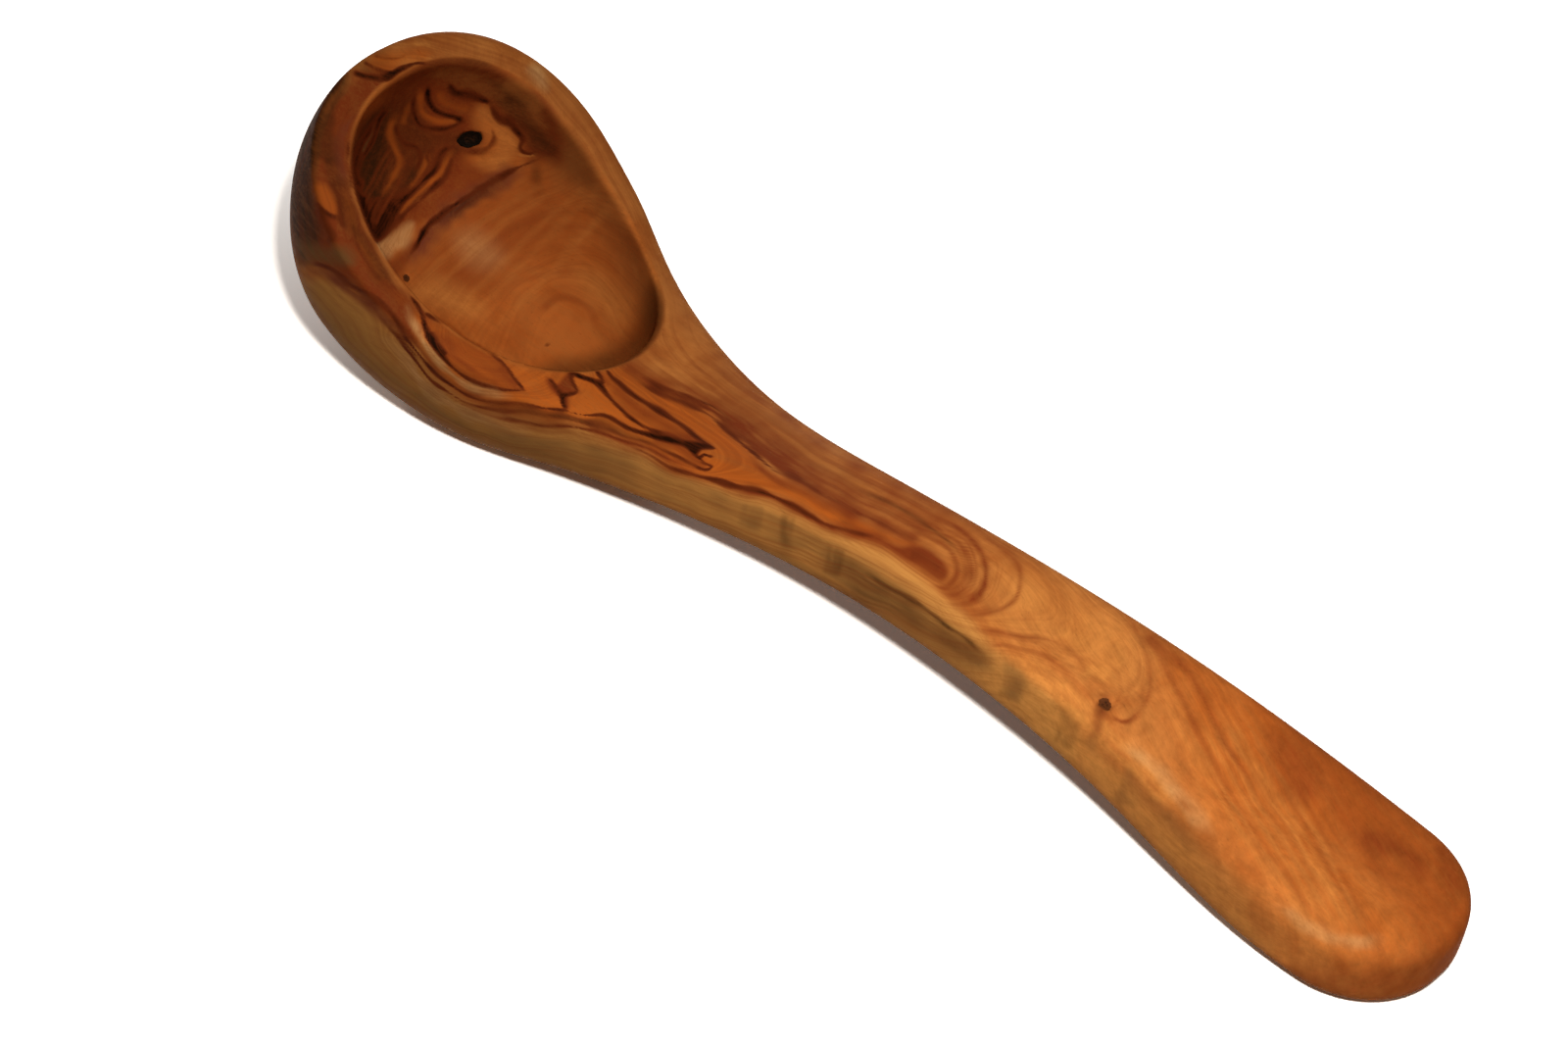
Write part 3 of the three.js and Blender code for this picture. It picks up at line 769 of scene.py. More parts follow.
HANDLE_MARKS: tuple[Mark, ...] = (
    # darker orange over the handle's end: amber wood, partly painted shade where the end slopes away from
    # the lamp
    Patch("end amber and shade", Tone.AMBER, 34, 0.5, ((1200, 660), (1196, 720), (1220, 800), (1270, 880),
        (1330, 950), (1380, 1000), (1440, 1010), (1530, 960), (1520, 860), (1420, 770), (1300, 690))),
    # darker orange on the far side of the handle's end: amber wood, partly painted shade
    Patch("far amber and shade", Tone.AMBER, 26, 0.5, ((1270, 716), (1280, 780), (1310, 820), (1350, 850),
        (1420, 890), (1450, 960), (1530, 960), (1520, 860), (1420, 770), (1340, 720))),
    Patch("far edge", Tone.RUSSET, 26, 0.42, ((1282, 722), (1302, 758), (1318, 800), (1346, 836),
        (1366, 872), (1400, 886), (1440, 900), (1480, 930), (1515, 930), (1500, 870), (1440, 810),
        (1360, 750), (1300, 710))),
    Patch("end wash", Tone.RUSSET, 22, 0.4, ((1400, 880), (1440, 900), (1490, 930), (1505, 960),
        (1470, 1010), (1400, 1030), (1330, 1010), (1350, 985), (1400, 985), (1440, 960), (1430, 930))),
    Patch("end face", Tone.RUSSET, 8, 0.2, ((1300, 985), (1350, 992), (1400, 992), (1450, 975), (1490, 940),
        (1512, 910), (1512, 980), (1450, 1030), (1380, 1032), (1320, 1012))),
    Bundle("light streaks", Tone.HONEY, 6, 0.45, 7, ((1262, 720), (1290, 768), (1316, 810), (1342, 852),
        (1368, 900), (1392, 950)), ((1200, 740), (1230, 790), (1258, 836), (1286, 880), (1316, 920),
        (1346, 956))),
    Bundle("dark streaks", Tone.RUSSET, 4, 0.3, 6, ((1284, 736), (1308, 778), (1330, 816), (1352, 858),
        (1376, 902), (1398, 944)), ((1190, 716), (1222, 770), (1250, 816), (1280, 864), (1312, 908),
        (1344, 948))),
    Patch("red spot", Tone.RUSSET, 9, 0.75, ((1392, 850), (1410, 850), (1428, 862), (1424, 872),
        (1404, 870), (1392, 862))),
    Patch("red spot far", Tone.RUSSET, 9, 0.5, ((1428, 866), (1450, 872), (1454, 892), (1436, 892))),
    Patch("red spot end", Tone.RUSSET, 8, 0.45, ((1466, 864), (1484, 876), (1494, 906), (1480, 910),
        (1470, 890))),
    Patch("far red", Tone.RUSSET, 12, 0.45, ((1290, 748), (1320, 756), (1344, 790), (1340, 812),
        (1316, 816), (1300, 786))),
    Stroke("edge patch", Tone.RUSSET, 10, 0.6, ((1170, 646), (1182, 660), (1196, 672), (1206, 680))),
    Stroke("first wave", Tone.RUSSET, 3.5, 0.6, ((996, 640), (1030, 646), (1060, 651), (1082, 657),
        (1098, 668), (1108, 684), (1114, 698)), shade=7),
    Stroke("second wave", Tone.RUSSET, 4, 0.5, ((1008, 658), (1040, 662), (1070, 672), (1096, 690))),
    Stroke("wave light", Tone.HONEY, 10, 0.5, ((1000, 632), (1040, 636), (1080, 644), (1112, 664))),
    # painted highlight: lighter mottles along the handle's near top edge
    Bundle("edge mottle", Tone.HONEY, 8, 0.5, 4, ((1020, 662), (1070, 704), (1110, 744), (1150, 782),
        (1190, 824)), ((1040, 660), (1090, 700), (1134, 746), (1176, 790), (1214, 838))),
    Stroke("knot ring", Tone.RUSSET, 4, 0.45, ((1152, 628), (1164, 652), (1172, 678), (1174, 700),
        (1169, 716), (1160, 730), (1146, 737), (1134, 732)), shade=6),
    Bundle("knot rings", Tone.RUSSET, 3, 0.45, 3, ((1112, 672), (1130, 680), (1140, 694), (1141, 712),
        (1134, 726)), ((1134, 648), (1154, 668), (1164, 692), (1163, 716), (1148, 734))),
    Stroke("knot foot", Tone.RUSSET, 5, 0.7, ((1136, 732), (1148, 737), (1162, 730))),
    Patch("top honey", Tone.HONEY, 26, 0.4, ((1020, 590), (1060, 586), (1120, 622), (1150, 650),
        (1150, 690), (1110, 680), (1060, 640), (1030, 620))),
    # painted highlight: pale spots along the handle's near ridge
    Bundle("ridge blots", Tone.PALE, 8, 0.4, 4, ((1146, 762), (1172, 784), (1196, 812), (1220, 846)),
        ((1160, 760), (1186, 786), (1212, 816), (1238, 850))),
    # painted highlight along the front ridge of the handle's end
    Stroke("painted end ridge highlight", Tone.PALE, 11, 0.6, ((1306, 924), (1326, 940), (1352, 953), (1384, 960),
        (1406, 957))),
    Stroke("knot glow", Tone.HONEY, 12, 0.7, ((1104, 690), (1118, 682), (1132, 690))),
    Stroke("knot halo", Tone.RUSSET, 14, 0.6, ((1130, 706), (1127, 718), (1121, 736))),
    Stroke("knot tail", Tone.RUSSET, 9, 0.5, ((1124, 724), (1120, 740), (1116, 756))),
    Stroke("knot crack", Tone.UMBER, 9, 0.6, ((1132, 704), (1129, 714), (1126, 724), (1122, 734)),
        taper=0.4),
    Stroke("third wave", Tone.RUSSET, 4, 0.4, ((1164, 640), (1176, 662), (1188, 684), (1202, 706),
        (1212, 730), (1224, 752)), shade=-14),
    Stroke("fourth wave", Tone.RUSSET, 4, 0.45, ((1196, 668), (1216, 692), (1230, 718), (1240, 744),
        (1258, 772), (1278, 800)), shade=-10),
)

BOWL_MARKS: tuple[Mark, ...] = (
    Patch("bowl wash", Tone.AMBER, 10, 0.5, ((340, 170), (380, 90), (460, 50), (540, 80), (620, 170),
        (690, 320), (650, 390), (560, 390), (470, 350), (400, 300), (360, 240))),
    Patch("floor red", Tone.RUSSET, 30, 0.42, ((420, 270), (450, 226), (500, 190), (548, 166), (580, 200),
        (560, 240), (520, 270), (480, 300), (440, 310))),
    Patch("floor shade", Tone.RUSSET, 22, 0.17, ((414, 292), (470, 262), (560, 212), (626, 236), (662, 310),
        (640, 368), (560, 380), (476, 346))),
    # greyer tone on the steep right inner wall: painted shade
    Patch("right wall", Tone.STAIN, 20, 0.42, ((552, 100), (590, 140), (640, 226), (672, 300), (676, 330),
        (656, 322), (634, 264), (600, 206), (562, 170))),
    # darker tone high on the right inner wall: painted shade
    Patch("right wall deep", Tone.UMBER, 12, 0.35, ((560, 112), (590, 140), (612, 172), (604, 190),
        (580, 176), (562, 150))),
    # painted shade on the inner wall under the handle's end of the rim
    Patch("back wall shade", Tone.UMBER, 12, 0.6, ((666, 290), (690, 322), (676, 360), (634, 390), (590, 396),
        (540, 390), (566, 370), (606, 362), (646, 338))),
    Patch("heart field", Tone.RUSSET, 10, 0.92, ((352, 170), (362, 132), (384, 104), (410, 78), (445, 60),
        (490, 62), (530, 82), (566, 112), (574, 164), (548, 164), (532, 154), (530, 140), (520, 128),
        (505, 120), (494, 104), (484, 118), (492, 150), (474, 158), (462, 176), (440, 198), (416, 220),
        (400, 240), (382, 250), (366, 218), (356, 192))),
    Patch("heart shade", Tone.UMBER, 10, 0.5, ((358, 170), (372, 124), (400, 106), (424, 100), (440, 130),
        (470, 134), (476, 156), (452, 180), (414, 222), (384, 246), (364, 214))),
    # painted shade on the bowl's far inner wall, under the rim
    Patch("top wall", Tone.UMBER, 9, 0.3, ((388, 108), (404, 82), (436, 62), (480, 58), (520, 76),
        (556, 104), (570, 140), (572, 166), (548, 164), (536, 154), (532, 138), (516, 124), (502, 106),
        (476, 98), (458, 86), (436, 84), (418, 96), (402, 112))),
    Patch("top wall light", Tone.HONEY, 9, 0.14, ((440, 76), (470, 70), (500, 80), (530, 92), (550, 112),
        (556, 130), (536, 124), (510, 106), (480, 92), (452, 84))),
    Stroke("far edge shade", Tone.UMBER, 10, 0.6, ((430, 62), (446, 57), (466, 56), (486, 61), (504, 69))),
    Stroke("wall gleam", Tone.HONEY, 10, 0.25, ((512, 84), (530, 92), (546, 104), (552, 116))),
    Bundle("wall mottle", Tone.UMBER, 6, 0.28, 4, ((492, 80), (516, 92), (540, 112)), ((524, 114),
        (546, 132), (562, 156))),
    Patch("lobe dark", Tone.UMBER, 6, 0.55, ((512, 121), (522, 116), (538, 126), (552, 138), (568, 150),
        (562, 160), (544, 153), (535, 138), (524, 127))),
    Stroke("edge line", Tone.DARK, 4.5, 0.95, ((390, 84), (400, 77), (409, 71), (420, 67), (430, 66),
        (438, 68)), Zone.ALL),
    Patch("deep heart", Tone.UMBER, 8, 0.85, ((358, 172), (362, 142), (374, 122), (392, 110), (398, 120),
        (394, 146), (390, 172), (386, 194), (398, 200), (412, 190), (420, 172), (432, 172), (420, 192),
        (406, 212), (396, 232), (384, 246), (370, 220))),
    Patch("heart floor", Tone.DARK, 8, 0.95, ((362, 196), (378, 200), (394, 202), (418, 192), (412, 212),
        (400, 234), (388, 248), (374, 236))),
    Patch("heart wall", Tone.DARK, 7, 0.8, ((358, 170), (364, 146), (376, 128), (388, 118), (384, 136),
        (374, 152), (368, 172), (372, 190), (362, 190))),
    Bundle("heart streaks", Tone.UMBER, 3, 0.8, 6, ((388, 124), (378, 142), (370, 158), (364, 174)),
        ((402, 176), (392, 198), (384, 216), (378, 230))),
    Bundle("red streaks", Tone.RUSSET, 3, 0.7, 4, ((396, 150), (388, 166), (378, 184), (370, 200)),
        ((410, 180), (398, 200), (390, 216), (382, 232))),
    Stroke("olive streak", Tone.STAIN, 5, 0.75, ((388, 122), (382, 134), (374, 146), (368, 158))),
    Stroke("wall crack", Tone.DARK, 4, 0.9, ((396, 108), (389, 122), (382, 138), (376, 150), (368, 164))),
    Stroke("first flame", Tone.AMBER, 6, 0.6, ((404, 118), (400, 130), (399, 142), (403, 152), (408, 161),
        (405, 173), (398, 186), (391, 197))),
    Stroke("second flame", Tone.AMBER, 5, 0.6, ((437, 158), (434, 169), (428, 181), (419, 191))),
    Stroke("third flame", Tone.AMBER, 5, 0.4, ((420, 104), (414, 116), (412, 128))),
    Stroke("flame edge", Tone.DARK, 4, 0.7, ((404, 126), (407, 138), (414, 147), (426, 150), (430, 160),
        (424, 176))),
    Stroke("heart line", Tone.DARK, 3.5, 0.6, ((440, 150), (436, 160), (438, 170), (430, 182))),
    Stroke("loop band", Tone.AMBER, 6, 0.7, ((429, 92), (429, 106), (433, 117), (443, 122), (456, 123),
        (472, 121))),
    Stroke("upper loop band", Tone.AMBER, 6, 0.5, ((446, 92), (452, 102), (464, 108), (480, 111))),
    Stroke("outer loop", Tone.DARK, 4.6, 1, ((423, 96), (422, 108), (424, 118), (429, 127), (437, 130),
        (448, 131), (460, 129), (474, 124))),
    Stroke("inner loop", Tone.DARK, 6, 1, ((436, 86), (436, 97), (439, 107), (445, 113), (454, 116),
        (464, 118), (477, 123)), shade=-9),
    Stroke("upper arc", Tone.DARK, 6.5, 1, ((456, 85), (463, 94), (474, 98), (486, 100), (500, 104))),
    Stroke("lobe edge", Tone.DARK, 7.5, 1, ((498, 104), (503, 114), (510, 123), (519, 125), (527, 132),
        (533, 141), (530, 150), (537, 156), (552, 158)), shade=-12),
    Stroke("lobe edge far", Tone.UMBER, 9, 0.5, ((500, 98), (514, 104), (528, 102), (544, 98)), taper=0.45),
    Patch("pale lobe", Tone.HONEY, 7, 0.32, ((486, 108), (498, 110), (507, 126), (520, 132), (528, 146),
        (524, 160), (508, 174), (492, 174), (488, 164), (504, 152), (506, 138), (500, 124), (488, 116))),
    Stroke("lobe tip", Tone.HONEY, 4, 0.6, ((528, 157), (538, 159), (546, 158))),
    Stroke("knot shade", Tone.DARK, 9, 0.55, ((466, 152), (480, 155), (494, 152), (503, 142), (500, 130))),
    Stroke("near line", Tone.DARK, 5, 1, ((464, 150), (454, 153), (448, 160), (446, 169), (440, 178),
        (430, 188), (420, 196), (411, 204), (404, 215)), shade=14),
    Stroke("line band", Tone.AMBER, 5, 0.75, ((462, 155), (455, 167), (447, 180), (435, 191), (423, 201),
        (413, 211), (405, 224))),
    Stroke("far line", Tone.DARK, 4.6, 1, ((468, 157), (461, 166), (456, 176), (448, 186), (438, 196),
        (428, 205), (418, 214), (410, 223), (404, 232)), shade=-16),
    Patch("red band", Tone.RUSSET, 9, 0.8, ((466, 162), (490, 168), (512, 176), (492, 190), (466, 208),
        (440, 226), (420, 232), (408, 230), (430, 206), (450, 188))),
    Stroke("vein halo", Tone.PLUM, 17, 0.85, ((540, 168), (515, 180), (490, 196), (470, 210), (450, 226),
        (434, 242), (422, 258), (412, 274))),
    Stroke("vein", Tone.DARK, 6, 0.95, ((562, 159), (546, 164), (530, 170), (516, 177), (504, 183),
        (492, 190), (480, 199), (466, 208), (452, 217), (441, 227), (432, 238), (424, 249), (416, 262),
        (410, 276)), taper=0.2),
    Stroke("vein shade", Tone.UMBER, 13, 0.6, ((520, 178), (496, 194), (474, 210), (456, 222), (442, 236)),
        taper=0.4),
    Stroke("vein echo", Tone.DARK, 4, 0.4, ((500, 191), (486, 202), (472, 212), (460, 221))),
    Stroke("vein blot", Tone.UMBER, 12, 0.55, ((541, 164), (546, 174), (549, 184), (550, 194)), taper=0.5),
    # painted reflection of the lamp on the bowl's inner wall, as a pale patch
    Patch("painted reflection", Tone.PALE, 5, 0.75, ((384, 252), (396, 243), (406, 235), (415, 229), (422, 229),
        (419, 242), (414, 251), (404, 255), (398, 263), (387, 262))),
    Patch("red floor", Tone.RUSSET, 8, 0.75, ((380, 258), (402, 262), (420, 246), (416, 262), (408, 286),
        (418, 300), (404, 300), (388, 280))),
    Stroke("first shell", Tone.RUSSET, 6, 0.45, ((550, 318), (560, 308), (574, 304), (590, 307), (602, 317),
        (607, 332))),
    Bundle("shells", Tone.RUSSET, 7, 0.3, 6, ((500, 308), (540, 284), (580, 276), (616, 292), (630, 322)),
        ((452, 290), (520, 236), (590, 216), (640, 246), (662, 300))),
    Bundle("floor streaks", Tone.HONEY, 7, 0.18, 5, ((430, 290), (470, 246), (520, 208), (560, 186)),
        ((500, 340), (560, 280), (600, 236), (630, 200))),
    Patch("sheen", Tone.PALE, 16, 0.45, ((466, 244), (484, 238), (504, 250), (510, 264), (494, 272),
        (474, 262))),
    Patch("near light", Tone.HONEY, 16, 0.5, ((424, 296), (444, 288), (470, 296), (490, 316), (470, 322),
        (444, 310))),
    Patch("far light", Tone.HONEY, 18, 0.45, ((590, 276), (616, 280), (640, 310), (630, 330), (612, 310),
        (596, 292))),
    Stroke("speck", Tone.DARK, 4, 0.45, ((557, 351), (561, 353))),
)

OUTSIDE_GUIDES: tuple[Guide, ...] = (
    Guide(0, ((590, 405), (640, 425), (690, 448), (722, 463))),
    Guide(12, ((617, 377), (652, 408), (698, 436), (729, 457), (733, 466), (724, 479), (680, 460),
        (620, 438), (540, 421), (470, 407), (428, 375), (404, 346))),
    Guide(34, ((633, 371), (688, 404), (757, 444), (810, 486), (880, 525), (942, 553), (966, 574),
        (966, 592), (936, 579), (896, 550), (844, 536), (796, 510), (748, 495), (692, 480), (640, 454),
        (560, 434), (492, 422), (430, 385), (400, 352))),
    Guide(52, ((700, 385), (780, 440), (860, 490), (930, 526), (976, 538), (1000, 563), (1005, 591),
        (990, 612), (950, 604), (880, 560), (800, 526), (700, 494), (600, 456), (500, 438), (420, 392),
        (380, 352))),
    Guide(68, ((760, 406), (840, 456), (920, 498), (1006, 548), (1034, 574), (1038, 606), (1012, 623),
        (960, 618), (880, 578), (800, 546), (700, 508), (600, 468), (500, 452), (420, 408), (350, 350))),
    Guide(92, ((900, 474), (1000, 534), (1070, 580), (1100, 620), (1098, 668), (1060, 652), (996, 640),
        (900, 600), (800, 562), (700, 522), (560, 474), (430, 436))),
    Guide(118, ((1060, 566), (1130, 616), (1164, 652), (1174, 700), (1160, 730), (1134, 732), (1096, 690),
        (1040, 668), (960, 652), (860, 600))),
    Guide(140, ((1130, 600), (1176, 662), (1212, 730), (1240, 790), (1270, 850), (1300, 920))),
    Guide(162, ((1180, 632), (1216, 692), (1258, 772), (1300, 840), (1340, 900), (1370, 960))),
    Guide(186, ((1260, 690), (1300, 756), (1346, 830), (1390, 890), (1430, 950))),
    Guide(214, ((1360, 750), (1400, 820), (1440, 880), (1480, 930))),
    Guide(30, ((372, 66), (382, 70), (398, 78))),
    Guide(44, ((381, 56), (395, 61), (412, 59))),
    Guide(20, ((360, 74), (376, 79), (396, 83))),
    Guide(14, ((380, 82), (344, 114), (337, 158), (350, 196), (362, 238), (384, 276), (410, 310))),
    Guide(30, ((356, 80), (326, 134), (320, 186), (330, 236), (340, 262), (380, 302), (404, 332))),
    Guide(50, ((330, 100), (304, 180), (306, 256), (330, 282), (372, 320))),
    Guide(70, ((470, 42), (540, 66), (600, 130), (640, 200), (690, 300))),
    Guide(90, ((560, 56), (620, 130), (680, 240), (720, 320))),
)

HOLLOW_GUIDES: tuple[Guide, ...] = (
    Guide(0, ((393, 118), (382, 138), (370, 158), (362, 176))),
    Guide(14, ((404, 118), (400, 142), (406, 165), (391, 197), (378, 226))),
    Guide(28, ((437, 158), (428, 181), (410, 204), (392, 232))),
    Guide(40, ((464, 150), (446, 169), (430, 188), (404, 215))),
    Guide(50, ((468, 157), (456, 176), (438, 196), (404, 232))),
    Guide(78, ((562, 159), (530, 170), (492, 190), (452, 217), (424, 249), (410, 276))),
    Guide(88, ((570, 176), (530, 186), (496, 204), (464, 227), (438, 252), (424, 276))),
    Guide(118, ((600, 190), (540, 216), (480, 254), (434, 292))),
    Guide(140, ((640, 236), (590, 216), (520, 240), (446, 314))),
    Guide(165, ((660, 310), (616, 262), (565, 264), (500, 306), (470, 346))),
    Guide(185, ((640, 330), (614, 288), (575, 276), (528, 304), (500, 360))),
    Guide(205, ((607, 334), (600, 314), (575, 304), (550, 318), (534, 372))),
    Guide(34, ((424, 96), (424, 118), (437, 130), (474, 124))),
    Guide(26, ((436, 86), (439, 107), (454, 116), (477, 123))),
    Guide(12, ((456, 85), (474, 98), (500, 104), (510, 123), (533, 141), (552, 158))),
    Guide(0, ((420, 74), (460, 66), (510, 84), (556, 120))),
)


class RingField:
    """Growth rings that follow guide lines: a thin plate bent through the guides' ring numbers."""

    STEP = 16.0
    UNIT = 100.0
    GIVE = 0.02
    CHUNK = 20000

    def __init__(self, guides: Sequence[Guide]) -> None:
        """Bends the plate.

        Args:
            guides: Lines of the photograph, each with its ring.
        """
        paths = [smooth_path(guide.path, self.STEP) for guide in guides]
        values = np.concatenate([np.full(len(path), guide.ring) for path, guide in zip(paths, guides)])
        self.spots = np.concatenate(paths) / self.UNIT
        count = len(self.spots)
        whole = np.zeros((count + 3, count + 3))
        whole[:count, :count] = self._plate(self.spots) + self.GIVE * np.eye(count)
        whole[:count, count] = whole[count, :count] = 1
        whole[:count, count + 1:] = self.spots
        whole[count + 1:, :count] = self.spots.T
        self.weights = np.linalg.solve(whole, np.concatenate([values, np.zeros(3)]))

    def _plate(self, spots: np.ndarray) -> np.ndarray:
        """Gives how much each guide spot lifts the plate at other spots."""
        squares = ((spots[:, None] - self.spots[None]) ** 2).sum(-1)
        return squares * np.log(squares + 1e-9)

    def __call__(self, pixels: np.ndarray) -> np.ndarray:
        """Gives the ring at rows of pixels."""
        spots = pixels / self.UNIT
        count = len(self.spots)
        flat = self.weights[count] + spots @ self.weights[count + 1:]
        for start in range(0, len(spots), self.CHUNK):
            part = slice(start, start + self.CHUNK)
            flat[part] += self._plate(spots[part]) @ self.weights[:count]
        return flat


@dataclass(frozen=True)
class HiddenFigure:
    """Strengths of the figure on the sides that the photograph doesn't see, and its sizes in mm."""

    hollow: float = 0.7
    sap: float = 0.9
    sap_tilt: float = 0.55
    sap_edge: tuple[float, float] = (-14, 2)
    heart: float = 0.65
    heart_edge: tuple[float, float] = (108, 126)
    ring: float = 0.5
    ring_gap: float = 3.3
    ring_half: float = 0.3
    ring_drift: float = 0.45
    drift_lengths: tuple[float, float, float] = (60, 22, 22)
    patch_lengths: tuple[float, float, float] = (90, 30, 30)
    dark: float = 0.3
    dark_edge: tuple[float, float] = (0.55, 0.9)


class Figure:
    """Growth figure of the wood, with some painted highlights and painted shade, worked out for each point
    of the body.
    """

    WOBBLE = 1.1
    WOBBLE_LENGTHS = (75, 75)
    SWELL = 0.36
    SWELL_LENGTHS = (60, 60)
    FADE = 0.32
    FADE_LENGTHS = (70, 70)
    FACING = (0.0, 0.1)
    HALO = 0.55
    HALO_POWER = 1.3
    REACH = 1.6
    END_SHARE = 0.25
    LEAST_TAPER = 0.001
    START_SHARE = 0.4
    PATH_STEP = 3.0
    PIXEL = 0.18
    MOTTLED = (165, 200)
    CALM = 0.5
    PITH_ALONG = (0, 14, 100, 160, 262)
    PITH_SIDE = (-10, -10, -9, -2.6, 0)
    PITH_HEIGHT = (59, 59, 66.4, 74.5, 88)
    GRAIN_SHEAR = 0.3
    GRAIN_FROM = 30
    GRAIN_WAVE = 1.6
    GRAIN_LENGTHS = (70, 24, 24)
    GRAIN_LIFT = 0.6

    def __init__(self, shape: LadleShape, view: PhotoView, points: np.ndarray, normals: np.ndarray) -> None:
        """Places the points in the photograph and on the ladle.

        Args:
            shape: Sizes and laws of the body.
            view: The photograph's camera.
            points: Points of the body in mm.
            normals: Normals there.
        """
        self.points = points
        self.shape = shape
        flat = view.pixels(points)
        drift = [WaveNoise(seed, self.WOBBLE_LENGTHS)(flat) for seed in (11, 12)]
        self.pixels = flat + self.WOBBLE * np.stack(drift, -1)
        self.swell = 1 + self.SWELL * WaveNoise(13, self.SWELL_LENGTHS)(flat)
        self.fade = 1 - self.FADE * (1 + WaveNoise(14, self.FADE_LENGTHS)(flat)) / 2
        self.seen = smooth_step(view.facing(points, normals), *self.FACING)
        self.run, up = shape.unroll(points)
        self.inside = shape.inside_hollow(self.run, points[:, 1], up)
        self.strength = {tone: np.zeros(len(points)) for tone in Tone}

    def zone(self, zone: Zone) -> np.ndarray:
        """Gives how much each point belongs to a part of the surface."""
        if zone is Zone.HOLLOW:
            return self.inside
        if zone is Zone.OUTSIDE:
            return 1 - self.inside
        return np.ones(len(self.points))

    def lay(self, tone: Tone, mask: np.ndarray) -> None:
        """Lays a tone over what is there, as a glaze is laid over paint."""
        held = np.clip(mask, 0, 1)
        for other in Tone:
            self.strength[other] *= 1 - held
        self.strength[tone] += held

    def draw(self, mark: Mark, group: Zone) -> None:
        """Draws one mark where the photograph sees the wood.

        Args:
            mark: The mark.
            group: Zone of the mark's group.
        """
        if isinstance(mark, Bundle):
            for stroke in mark.strokes():
                self.draw(stroke, group)
            return
        held = self.seen * self.zone(mark.zone or group)
        if isinstance(mark, Patch):
            self.lay(mark.tone, mark.strength * self._patch(mark) * held)
            return
        line, halo = self._stroke(mark)
        if mark.shade:
            self.lay(Tone.RUSSET, self.HALO * mark.strength * halo * held)
        self.lay(mark.tone, mark.strength * line * held)

    def _stroke(self, mark: Stroke) -> tuple[np.ndarray, np.ndarray]:
        """Gives a line's profile over the points, and that of the soft tone beside it.

        Args:
            mark: The line.

        Returns:
            Its profile, 1 on the line, 0 a width away and fading at its ends, and the soft tone's.
        """
        path = smooth_path(mark.path, self.PATH_STEP)
        reach = max(self.REACH * mark.width, abs(mark.shade))
        chosen = np.flatnonzero(near_box(self.pixels, path, reach))
        gap, share, side = path_distance(self.pixels[chosen], path)
        taper = max(mark.taper, self.LEAST_TAPER)
        ends = self.END_SHARE + (1 - self.END_SHARE) * smooth_step(np.minimum(share, 1 - share), 0, taper)
        grown = mark.start + (1 - mark.start) * share
        width = mark.width * self.swell[chosen] * grown
        line = np.zeros(len(self.points))
        halo = np.zeros(len(self.points))
        strength = self.START_SHARE + (1 - self.START_SHARE) * grown
        line[chosen] = np.clip(1 - (gap / width) ** 2, 0, 1) ** 2 * ends * self.fade[chosen] * strength
        if mark.shade:
            soft = np.clip(1 - gap / abs(mark.shade), 0, 1) ** self.HALO_POWER
            halo[chosen] = soft * ends * (side * mark.shade > 0)
        return line, halo

    def _patch(self, mark: Patch) -> np.ndarray:
        """Gives a patch's mask over the points: 1 inside, 0 outside, with its soft edge between."""
        path = smooth_path(mark.outline + mark.outline[:1], self.PATH_STEP)
        chosen = np.flatnonzero(near_box(self.pixels, path, mark.soft))
        spots = self.pixels[chosen]
        gap, _, _ = path_distance(spots, path)
        signed = np.where(inside_path(spots, path), gap, -gap)
        result = np.zeros(len(self.points))
        result[chosen] = smooth_step(signed, -mark.soft, mark.soft)
        return result

    def pith_distance(self) -> np.ndarray:
        """Gives the distance of each point from the trunk's pith, which ran above the ladle."""
        x = self.points[:, 0] - self.shape.shift
        side = np.interp(x, self.PITH_ALONG, self.PITH_SIDE)
        height = np.interp(x, self.PITH_ALONG, self.PITH_HEIGHT)
        return np.hypot(self.points[:, 1] - side, self.points[:, 2] - height)

    def hidden_sides(self, given: HiddenFigure) -> None:
        """Lays growth lines and sapwood over the sides that the photograph doesn't see."""
        unseen = 1 - self.seen
        self.lay(Tone.AMBER, given.hollow * self.inside * unseen)
        low = self.points[:, 2] + given.sap_tilt * self.points[:, 1]
        sap = smooth_step(-low, *given.sap_edge) * (1 - self.inside)
        self.lay(Tone.SAND, given.sap * sap * unseen)
        heart = smooth_step(-self.points[:, 0], *given.heart_edge) * (1 - self.inside)
        self.lay(Tone.RUSSET, given.heart * heart * unseen)
        drift = given.ring_drift * WaveNoise(21, given.drift_lengths)(self.points)
        radius = self.pith_distance() / given.ring_gap + drift
        ring = np.round(radius)
        off = np.abs(radius - ring)
        weight = 0.5 + 0.5 * np.sin(ring * 2.4 + 1.3 * np.sin(ring * 5.1))
        patchy = smooth_step(WaveNoise(22, given.patch_lengths)(self.points), -0.9, 0.9)
        line = np.clip(1 - (off / given.ring_half) ** 2, 0, 1) ** 2 * weight * patchy
        self.lay(Tone.RUSSET, given.ring * line * unseen)
        self.lay(Tone.DARK, given.dark * smooth_step(weight * patchy, *given.dark_edge) * line * unseen)

    def growth(self) -> np.ndarray:
        """Gives the growth rings in mm across them: along the guides where the photograph sees the wood."""
        outer = RingField(OUTSIDE_GUIDES)(self.pixels)
        inner = RingField(HOLLOW_GUIDES)(self.pixels)
        shown = (outer + (inner - outer) * (self.inside > 0.5)) * self.PIXEL
        return self.pith_distance() + (shown - self.pith_distance()) * self.seen

    def grain(self) -> np.ndarray:
        """Gives fibre coordinates in mm: along the fibre first, then across it."""
        x, y, z = self.points.T
        sheared = y + self.GRAIN_SHEAR * np.clip(x - self.GRAIN_FROM, 0, None)
        wave = self.GRAIN_WAVE * WaveNoise(31, self.GRAIN_LENGTHS)(self.points)
        return np.stack([x, sheared + wave, z + self.GRAIN_LIFT * wave], -1)

